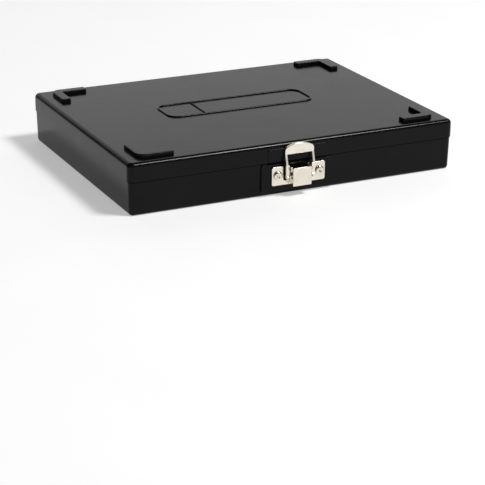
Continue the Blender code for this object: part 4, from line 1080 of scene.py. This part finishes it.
# %% [markdown]
# The lever is a channel, open at both ends: a flat face and two side walls, which carry its two pins. Its
# side view is drawn once and carried across the width. Then the channel is hollowed and the holes are
# drilled. Folding a flat blank would follow the press more closely, but it would give the same channel.

# %% Pull lever
LEVER_LOW = 6.1 * MM
LEVER_HIGH = 17.2 * MM
LEVER_OUT = 6.8 * MM
LEVER_REAR = 2.1 * MM
LEVER_SLANT = 1.2 * MM


def build_lever():
    out = -LEVER_OUT
    rear = -LEVER_REAR
    slant = rear - LEVER_SLANT
    low, high = LEVER_LOW, LEVER_HIGH
    side_view = [(out, low, 0.5 * MM), (slant, low, 0.3 * MM), (rear, low + 1.4 * MM, 0.5 * MM),
                 (rear, high - LEVER_SLANT, 0.6 * MM), (slant, high, 0.6 * MM), (out, high, 0.2 * MM)]
    place = (0, FRONT, 0)
    lever = sheet("lever", side_view, -LEVER_HALF, LEVER_HALF, 0.5 * MM, "X", place, 8)
    inner = LEVER_HALF - SHEET
    hollow = rectangle(out + SHEET, rear + 2 * MM, LEVER_LOW - MM, LEVER_HIGH + MM)
    cut(lever, block(hollow, -inner, inner, "X", place), pin_hole(LEVER_PIVOT), pin_hole(LINK_PIVOT))
    return calm_flats(lever)


dress(build_lever(), bright_nickel, "lever", "latch_lever")
print("lever is", round((LEVER_HIGH - LEVER_LOW) * 1000, 1), "mm tall")

# %% [markdown]
# The link's hood is drawn from flat strip: an arched face with rounded shoulders and a rim turned back
# round it. Two straps run down from it beside the lever to their eyes on the link pin. Wire bent to a loop
# would be cheaper, and some latches have that, but a stamped hood bears on the strike along its whole
# width.

# %% Catch link
LINK_HALF = 9.3 * MM
LINK_OUT = 2.7 * MM
LINK_SHEET = 0.7 * MM
HOOD_LOW = 24.6 * MM
HOOD_SHOULDER = 28.5 * MM
HOOD_APEX = 31.0 * MM
HOOD_EDGE = 0.35 * MM
RIM_BACK = 1.1 * MM
STRAP_HALF = 0.5 * MM
STRAP_OUT = 3.8 * MM
STRAP_KNEE = 18.6 * MM
EYE_RADIUS = 1.3 * MM


def hood_outline(draw_in, low, shoulder_radius=2.4 * MM):
    """The head's front view: straight sides, rounded shoulders, and an arch between them."""
    half = LINK_HALF
    rise = HOOD_APEX - HOOD_SHOULDER
    radius = (half * half + rise * rise) / (2 * rise)
    spread = math.degrees(math.asin(half / radius))
    centre = HOOD_APEX - radius
    crown = arc((0, centre), radius, 90 - spread, 90 + spread, 12)
    corners = [(half, low, 0.3 * MM), (*crown[0], shoulder_radius)]
    corners += [(*point, 3.0 * MM) for point in crown[2:-2]]
    corners += [(*crown[-1], shoulder_radius), (-half, low, 0.3 * MM)]
    return soft_outline(corners, draw_in, 4)


def leg_span(side, width):
    """Where a strap of the given width lies along X, measured in from the link's edge."""
    near = LINK_HALF - width
    return (near, LINK_HALF) if side > 0 else (-LINK_HALF, -near)


def link_leg(side):
    """One strap: it slants out from the hood, then runs down beside the lever to its eye."""
    pin_out, height = LINK_PIVOT
    front, back = -STRAP_OUT - STRAP_HALF, -STRAP_OUT + STRAP_HALF
    eye_front, eye_back = -pin_out - EYE_RADIUS, -pin_out + EYE_RADIUS
    head_middle = 1.9 * MM
    top = HOOD_LOW + 0.8 * MM
    knee = STRAP_KNEE
    overlap = knee - 0.5 * MM
    eye_low = height - EYE_RADIUS
    eye_corner = EYE_RADIUS * 0.8
    upper = [(-head_middle - STRAP_HALF, top, CRISP), (front, knee, 1.5 * MM), (front, overlap, CRISP),
             (back, overlap, CRISP), (back, knee, 0.9 * MM), (-head_middle + STRAP_HALF, top, CRISP)]
    lower = [(front, knee, 0.3 * MM), (front, height + 0.6 * MM, 1.0 * MM), (eye_front, height, 0.5 * MM),
             (eye_front, eye_low, eye_corner), (eye_back, eye_low, eye_corner),
             (eye_back, height + 0.5 * MM, 0.7 * MM), (back, height + 1.3 * MM, 0.7 * MM),
             (back, knee, 0.3 * MM)]
    place = (0, FRONT, 0)
    leg = sheet("leg", lower, *leg_span(side, 2.1 * MM), STAMPED_EDGE, "X", place)
    return add(leg, sheet("strap", upper, *leg_span(side, 1.3 * MM), STAMPED_EDGE, "X", place))


def build_link():
    place = (0, FRONT, 0)
    steps = [(draw_in, -LINK_OUT + depth) for draw_in, depth in quarter_round(HOOD_EDGE, 5)]
    edge = STAMPED_EDGE
    steps += [(0, -RIM_BACK - edge), (edge * 0.3, -RIM_BACK - edge * 0.3), (edge, -RIM_BACK)]
    link = stack("link", [(hood_outline(draw_in, HOOD_LOW), at) for draw_in, at in steps], "Y", place)
    cut(link, block(hood_outline(LINK_SHEET, HOOD_LOW - 3 * MM), -LINK_OUT + LINK_SHEET, 0, "Y", place))
    for side in (-1, 1):
        add(link, link_leg(side))
    cut(link, pin_hole(LINK_PIVOT))
    return calm_flats(link)


dress(build_link(), bright_nickel, "link", "latch_link")
print("link is", round((HOOD_APEX - LINK_PIVOT[1]) * 1000, 1), "mm from its pin to its crown")

# %% [markdown]
# The strike is a flat arched plate on the lid. The hood's rim pulls down on its curved top edge. Its
# outline is the hood's own, drawn in by the sheet and a gap, so the two always fit each other. Its two
# small rivets sit in round seats, so that they clear the hood. Two straight pins carry lever and link.

# %% Strike and latch pins
STRIKE_HALF = 7.7 * MM
STRIKE_SHEET = 0.9 * MM
SEAT_RADIUS = 1.5 * MM


def strike_outline(draw_in):
    half = STRIKE_HALF - draw_in
    arch = hood_outline(LINK_SHEET + GAP + draw_in, HOOD_LOW + GAP + draw_in)
    return [(max(-half, min(x, half)), z) for x, z in arch]


def build_strike():
    place = (0, FRONT, 0)
    front = -PLATE_BACK - STRIKE_SHEET
    strike = soft_block("strike", strike_outline, front, -PLATE_BACK, 0.15 * MM, "Y", place)
    for sign in (-1, 1):
        at = (sign * STRIKE_RIVETS / 2, FRONT, STRIKE_HEIGHT)
        hole = rod(RIVET_HOLE, -4 * MM, 0, "Y", at)
        cut(strike, hole, rod(SEAT_RADIUS, -4 * MM, -STRIKE_OUT + GAP, "Y", at))
    return calm_flats(strike)


def build_latch_pin(name, pivot, reach):
    """A straight pin whose ends are rounded over."""
    rows = [(PIN_RADIUS * 0.75, 0), (PIN_RADIUS * 0.93, 0.06 * MM), (PIN_RADIUS, 0.2 * MM)]
    return turned(name, two_ended(rows, reach), "X", (0, FRONT - pivot[0], pivot[1]), 32)


dress(build_strike(), bright_nickel, "lid", "latch_strike")
lever_reach = LEVER_HALF + GAP + CHEEK_SHEET
dress(build_latch_pin("lever_axle", LEVER_PIVOT, lever_reach), bright_nickel, "root", "lever_pin")
dress(build_latch_pin("link_axle", LINK_PIVOT, LINK_HALF), bright_nickel, "lever", "link_pin")
print("latch is complete")

# %% [markdown]
# ## The tools in the case
#
# Sockets, bars and grips are turned parts, so each is drawn as half of its section and spun. A lathe tool
# leaves every corner slightly broken, and the helper below does the same to the drawn profile. A bevel
# modifier would round the turned edges too, but it would also touch the facets that make up the round.

# %% Break the corners of a profile
def eased(profile, edge, steps=3):
    """The same (radius, distance) profile with each corner replaced by a small curve."""
    points = [Vector(point) for point in profile]
    result = [points[0]]
    for before, here, after in zip(points, points[1:], points[2:]):
        reach = min(edge, (here - before).length * 0.45, (after - here).length * 0.45)
        start = here + (before - here).normalized() * reach
        end = here + (after - here).normalized() * reach
        for i in range(steps + 1):
            t = i / steps
            result.append(start * (1 - t) ** 2 + here * 2 * t * (1 - t) + end * t * t)
    return [tuple(point) for point in result + [points[-1]]]


DRIVE = 6.35 * MM
DRIVE_SOCKET = 6.6 * MM
DRIVE_DEPTH = 8.2 * MM
DRIVE_FLARE = 0.5 * MM
CORE = 1.2 * MM


def square_hole(low, high, axis, place):
    """A cutter for the square drive, flared at its mouth, which is at low."""
    flare = DRIVE_FLARE
    hole = square(DRIVE_SOCKET)
    sections = [(square(DRIVE_SOCKET + 2 * flare), low - flare), (hole, low + flare), (hole, high)]
    return stack("tool", sections, axis, place)


def male_square(start, end, axis, place):
    """The square drive: four soft-edged sides and a tapered end."""
    def shape(draw_in):
        half = DRIVE / 2 - draw_in
        return rounded(-half, half, -half, half, 0.5 * MM, 4)
    steps = [(0, start), (0, end - 0.8 * MM), (0.15 * MM, end - 0.4 * MM), (0.55 * MM, end)]
    return stack("plug", [(shape(draw_in), at) for draw_in, at in steps], axis, place)


print("a broken corner has", len(eased([(1, 0), (1, 1), (0, 1)], 0.1)), "points")

# %% [markdown]
# A socket is turned from bar, broached to a hexagon at one end and to the quarter-inch square at the other.
# A ring of fine straight teeth is rolled round its foot, so that it can be spun between oily fingers.
# The teeth could be a bump texture, but they show in outline, so each one is two faces of the mesh.

# %% Sockets
SIZES = range(5, 15)
TEETH = 36
TOOTH_DEPTH = 0.16 * MM
TEETH_FROM = 2.4 * MM
TEETH_TO = 7.9 * MM
GROOVE_DEPTH = 0.3 * MM
SHOULDER = 12 * MM
HEX_DEPTH = 10 * MM
HEX_PLAY = 0.15


def toothed_circle(radius, teeth, depth):
    """A circle whose points step in and out by depth."""
    outline = []
    for i, (x, y) in enumerate(circle(1, 2 * teeth)):
        reach = radius - depth * (i % 2)
        outline.append((x * reach, y * reach))
    return outline


def build_socket(size):
    node = f"socket_{size:02d}_mm"
    low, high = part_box(node)
    place = (middle(node).x, middle(node).y, low.z)
    radius = (high.x - low.x) / 2
    nose = max(min(radius, (size * 1.32 + 1.3) / 2 * MM), 4.1 * MM)
    top = high.z - low.z
    groove = radius - GROOVE_DEPTH
    foot = [(CORE, 0), (radius, 0), (radius, 2.2 * MM)]
    upper = [(radius, 8.2 * MM), (radius, 9.2 * MM)]
    upper += [(groove, 9.4 * MM), (groove, 10.2 * MM), (radius, 10.4 * MM)]
    if nose < radius:
        upper += [(radius, SHOULDER - 0.4 * MM), (nose, SHOULDER + 0.9 * MM)]
    upper += [(nose, top), (CORE, top)]
    sections = [(circle(r, 2 * TEETH), at) for r, at in eased(foot, 0.4 * MM)]
    sections += [(toothed_circle(radius, TEETH, TOOTH_DEPTH), at) for at in (TEETH_FROM, TEETH_TO)]
    sections += [(circle(r, 2 * TEETH), at) for r, at in eased(upper, 0.4 * MM)]
    socket = stack("socket", sections, "Z", place, 35)
    across = (size + HEX_PLAY) * MM
    hole = hexagon(across)
    mouth = [(hole, top - HEX_DEPTH), (hole, top - 0.45 * MM), (hexagon(across * 1.10), top + 0.1 * MM)]
    bore = rod(min(across * 0.42, 2.6 * MM), 5 * MM, top - 5 * MM, "Z", place)
    cut(socket, stack("tool", mouth, "Z", place), square_hole(0, DRIVE_DEPTH, "Z", place), bore, smooth=35)
    socket.name = f"socket_{size:02d}_turned"
    return dress(socket, tool_chrome, "root", node)


for size in SIZES:
    build_socket(size)
print(len(SIZES), "sockets,", SIZES[0], "to", SIZES[-1], "mm")

# %% [markdown]
# The two extension bars have a socket end, a waisted shaft and a male square with a pocket for a sprung
# ball. The spinner's steel shank ends in the same square, so one helper makes all three. Its other end
# hides in the grip.

# %% Bars and the spinner's shank
PLUG_LENGTH = 7.5 * MM
COLLAR = 4.6 * MM
BALL_INSET = 3.8 * MM


def bar_profile(left, waist, half):
    """The left end as (radius, distance from the end) rows, then a waist and the collar behind the square."""
    plug = half - PLUG_LENGTH
    profile = [(radius * MM, -half + at * MM) for radius, at in left]
    return profile + [(waist, plug - 8 * MM), (COLLAR, plug - 5 * MM), (COLLAR, plug), (CORE, plug)]


def build_bar(node, left, waist, for_socket):
    """A turned bar along X with a male square at its right end, and perhaps a square hole at its left."""
    low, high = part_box(node)
    place = tuple(middle(node))
    end = (high.x - low.x) / 2
    profile = bar_profile([(CORE / MM, 0), *left], waist, end)
    bar = turned("bar", eased(profile, 0.5 * MM), "X", place, 56, 35)
    add(bar, male_square(end - PLUG_LENGTH - MM, end, "X", place), smooth=35)
    if for_socket:
        spot = (place[0] + end - BALL_INSET, place[1], place[2] + DRIVE / 2)
        ball_pocket = rod(1.3 * MM, -1.4 * MM, 3 * MM, "Z", spot, 24)
        cut(bar, square_hole(-end, -end + DRIVE_DEPTH, "X", place), ball_pocket, smooth=35)
    bar.name = node + "_turned"
    print(node, "is", round(2 * end * 1000, 1), "mm long")
    return dress(bar, tool_chrome, "root", node)


grooved_end = [(6.0, 0), (6.0, 5), (5.7, 5.3), (5.7, 6.1), (6.0, 6.4), (6.0, 13), (3.7, 17)]
build_bar("extension_long", grooved_end, 3.7 * MM, True)
build_bar("extension_short", grooved_end, 3.7 * MM, True)
build_bar("driver_shank", [(3.0, 0)], 3.0 * MM, False)

# %% [markdown]
# The spinner's grip is moulded round its shank. Twelve flutes run along it, deep in the middle and fading
# at both ends. Cutting flutes with Booleans leaves hard run-outs. Here the depth is part of each ring,
# so the ends fade by themselves. The ratchet's sleeve swells a little, with fine finger rings.

# %% Grips
def fluted_ring(radius, depth, flutes=12, sides=96):
    outline = []
    for i in range(sides):
        a = math.tau * i / sides
        r = radius - depth * (0.5 - 0.5 * math.cos(flutes * a)) ** 1.5
        outline.append((r * math.cos(a), r * math.sin(a)))
    return outline


def smooth_between(rows, at):
    """Blend (position, value) rows smoothly at a position."""
    for (left, first), (right, second) in zip(rows, rows[1:]):
        if left <= at <= right:
            t = (at - left) / (right - left)
            t = t * t * (3 - 2 * t)
            return first * (1 - t) + second * t
    return rows[-1][1]


SPINNER_AT = (-97 * MM, -53 * MM, 15.5 * MM)
SPINNER_LENGTH = 88
SPINNER_RADII = ((0, 7.4), (2, 9.5), (8, 10.55), (26, 10.55), (40, 9.2),
                 (56, 10.35), (72, 10.35), (82, 7.2), (88, 6.3))
FLUTE_DEPTHS = ((0, 0), (5, 0), (10, 0.62), (70, 0.62), (78, 0), (88, 0))
SPINNER_RINGS = 71
SLEEVE_RADIUS = 6.45 * MM
SLEEVE_SWELL = 0.35 * MM
FINGER_RING = 0.22 * MM
RING_PITCH = 6 * MM
SLEEVE_RINGS = 80


def build_spinner_grip():
    butt = ((3, 0), (6.6, 0), (7.3, 0.2))
    sections = [(fluted_ring(radius * MM, 0), at * MM) for radius, at in butt]
    for i in range(1, SPINNER_RINGS):
        at = SPINNER_LENGTH * i / SPINNER_RINGS
        ring = fluted_ring(smooth_between(SPINNER_RADII, at) * MM, smooth_between(FLUTE_DEPTHS, at) * MM)
        sections.append((ring, at * MM))
    sections += [(fluted_ring(radius * MM, 0), SPINNER_LENGTH * MM) for radius in (6.2, 4)]
    grip = stack("spinner_grip", sections, "X", SPINNER_AT, 50)
    cut(grip, rod(3.3 * MM, 40 * MM, 90 * MM, "X", SPINNER_AT), smooth=50)
    return dress(grip, red_grip, "root", "driver_handle")


def build_ratchet_grip():
    """The sleeve on the ratchet: a gentle swell with shallow finger rings."""
    node = "ratchet_grip"
    low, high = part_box(node)
    length = high.x - low.x
    place = (low.x, middle(node).y, middle(node).z)
    largest = (high.z - low.z) / 2
    profile = [(4.3 * MM, 0), (5.1 * MM, 0), (5.6 * MM, 0.5 * MM), (6.3 * MM, 2 * MM)]
    for i in range(1, SLEEVE_RINGS):
        at = 2 * MM + (length - 7 * MM) * i / SLEEVE_RINGS
        ring = FINGER_RING * max(0.0, math.cos(math.tau * at / RING_PITCH)) ** 4
        swell = SLEEVE_SWELL * math.sin(math.pi * i / SLEEVE_RINGS)
        profile.append((SLEEVE_RADIUS + swell - ring, at))
    profile += [(largest - 0.25 * MM, length - 4.5 * MM), (largest - 0.3 * MM, length - 3 * MM),
                (5.9 * MM, length - 1 * MM), (5.0 * MM, length - 0.2 * MM), (3 * MM, length)]
    grip = turned("ratchet_sleeve", profile, "X", place, 56, 50)
    cut(grip, rod(4.2 * MM, -MM, length - 14 * MM, "X", place), smooth=50)
    return dress(grip, red_grip, "root", node)


build_spinner_grip()
build_ratchet_grip()
print("grips moulded")

# %% [markdown]
# The insert is one moulding with a pocket for each tool, and round thumb wells to lift the long ones by.
# Every pocket has a rounded mouth, so that a tool slides in, and a rounded floor corner. Each cutter is a
# stack that narrows at the floor and flares at the top, which makes both curves in one cut. Pressed foam
# would be softer on the tools, but it can't hold edges as crisp as these.

# %% Tool insert
TRAY_TOP = 17.7 * MM
TRAY_PLAY = 1.4 * MM
WELL_FLOOR = 3.3 * MM
LIP = 0.6 * MM
SOCKET_ROW = 61 * MM
SOCKET_WELL = 11 * MM
BIT_WELL = 7.15 * MM
DRIVE_AT = (-82 * MM, 33 * MM, 0)
# In millimetres: left, right, centre in Y, half width, floor.
TRENCHES = {"ratchet neck": (-82, -52, 33, 10.2, 11.2), "ratchet grip": (-56, 59, 33, 7.9, 8.4),
            "long bar": (-97, 5, 5, 6.6, 3.3), "short bar": (37, 89, 5, 6.6, 3.3),
            "tee bar": (-96.5, 20.5, -17.5, 3.5, 9.7), "tee head": (-89.2, 13.2, -17.5, 7.2, 7),
            "universal joint": (29, 69.5, -23, 18.8, 3.3), "spinner grip": (-98, -8, -53, 11.6, 4.3),
            "spinner shank": (-12, 56, -53, 5.4, 10), "bit adapter": (70, 96, 33, 6.6, 3.3)}
# In millimetres: centre in X and Y, radius, floor.
WELLS = {"ratchet head": (-82, 33, 13.1, 11.2), "thumb by the ratchet": (-34, 33, 10.5, 7),
         "thumb by the shank": (21, -53, 10, 7)}


def pocket(shape, floor):
    """A cutter of the outline shape(draw_in) with a rounded floor corner and a flared mouth."""
    steps = [(0.5 * MM, floor), (0.12 * MM, floor + 0.15 * MM), (0, floor + 0.5 * MM), (0, TRAY_TOP - LIP)]
    for degrees in (30, 60, 85):
        a = math.radians(degrees)
        steps.append((-LIP * (1 - math.cos(a)), TRAY_TOP - LIP + LIP * math.sin(a)))
    steps.append((-LIP * 1.05, TRAY_TOP + MM))
    return stack("tool", [(shape(draw_in), at) for draw_in, at in steps])


def trench(left, right, y, half_width, floor, radius=2.0 * MM):
    corner = min(radius, half_width * 0.9)
    low, high = y - half_width, y + half_width

    def shape(d):
        return rounded(left + d, right - d, low + d, high - d, max(corner - d, 0.1 * MM), 5)
    return pocket(shape, floor)


def well(x, y, radius, floor):
    return pocket(lambda d: circle(radius - d, 40, (x, y)), floor)


def socket_trench(size):
    node = f"socket_{size:02d}_mm"
    low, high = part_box(node)
    reach = (high.x - low.x) / 2 + 0.5 * MM
    x = middle(node).x
    return trench(x - reach, x + reach, SOCKET_ROW, SOCKET_WELL, WELL_FLOOR, 1.5 * MM)


def build_tray():
    half_x = CASE_WIDTH / 2 - BASE_INNER - TRAY_PLAY
    half_y = CASE_DEPTH / 2 - BASE_INNER - TRAY_PLAY

    def outside(d):
        return rounded(-half_x + d, half_x - d, -half_y + d, half_y - d, 1.6 * MM, 6)
    tray = soft_block("tray", outside, BASE_FLOOR + GAP, TRAY_TOP, LIP)
    pockets = [socket_trench(size) for size in SIZES]
    pockets += [trench(*(value * MM for value in row)) for row in TRENCHES.values()]
    pockets += [well(*(value * MM for value in row)) for row in WELLS.values()]
    cut(tray, rod(5.4 * MM, WELL_FLOOR, 11.3 * MM, "Z", DRIVE_AT), *pockets)
    for node in sorted(name for name in frame["nodes"] if name.startswith("bit_") and name != "bit_adapter"):
        spot = middle(node)
        cut(tray, pocket(lambda d: hexagon(BIT_WELL - 2 * d, (spot.x, spot.y)), WELL_FLOOR))
    return calm_flats(tray)


dress(build_tray(), insert_plastic, "root", "tool_tray")
print("insert has", len(SIZES) + len(TRENCHES) + len(WELLS), "pockets, and a well for each bit")

# %% [markdown]
# The remaining pieces already have their true shapes from the CAD model: the ratchet's body, cover and
# works, the T-bar, the universal joint, the bits with their adapter, and the small balls. They keep their
# meshes, and get soft edges and their finishes here. Drawing them again would risk a gear that no longer
# meets its pawl.

# %% Dress the CAD pieces that stay
FINISHES = {"chrome_tools": tool_chrome, "dark_steel": hard_steel, "bit_steel": bit_steel,
            "grip_plastic": red_grip, "insert_plastic": insert_plastic,
            "nickel_plate": bright_nickel, "pin_steel": pin_steel}
KEEP_SHARP = ("pawl_spring",)
SOFT_EDGE = 0.16 * MM
for node, piece in frame["nodes"].items():
    finish = FINISHES.get(SLOT_OF[node])
    if finish is not None:
        piece.data.materials.clear()
        piece.data.materials.append(finish)
    if node in KEEP_SHARP or node.endswith("_ball"):
        continue
    set_shading(piece, 35)
    soften(piece, SOFT_EDGE, 2)
print(len(redrawn), "pieces are redrawn and", len(frame["nodes"]) - len(redrawn), "keep their CAD shape")

# %% [markdown]
# ## Measure the size
#
# The fine pieces must stay inside the box of the CAD model, or the part would not fit where its model fits.
# Both boxes are measured the same way and printed, so that they can be compared.

# %% Measure and finish
visual_box = [list(map(float, corner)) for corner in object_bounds()]
for label, box in (("cad", cad_box), ("visual", visual_box)):
    print(label, [round((high - low) * 1000, 2) for low, high in zip(*box)])
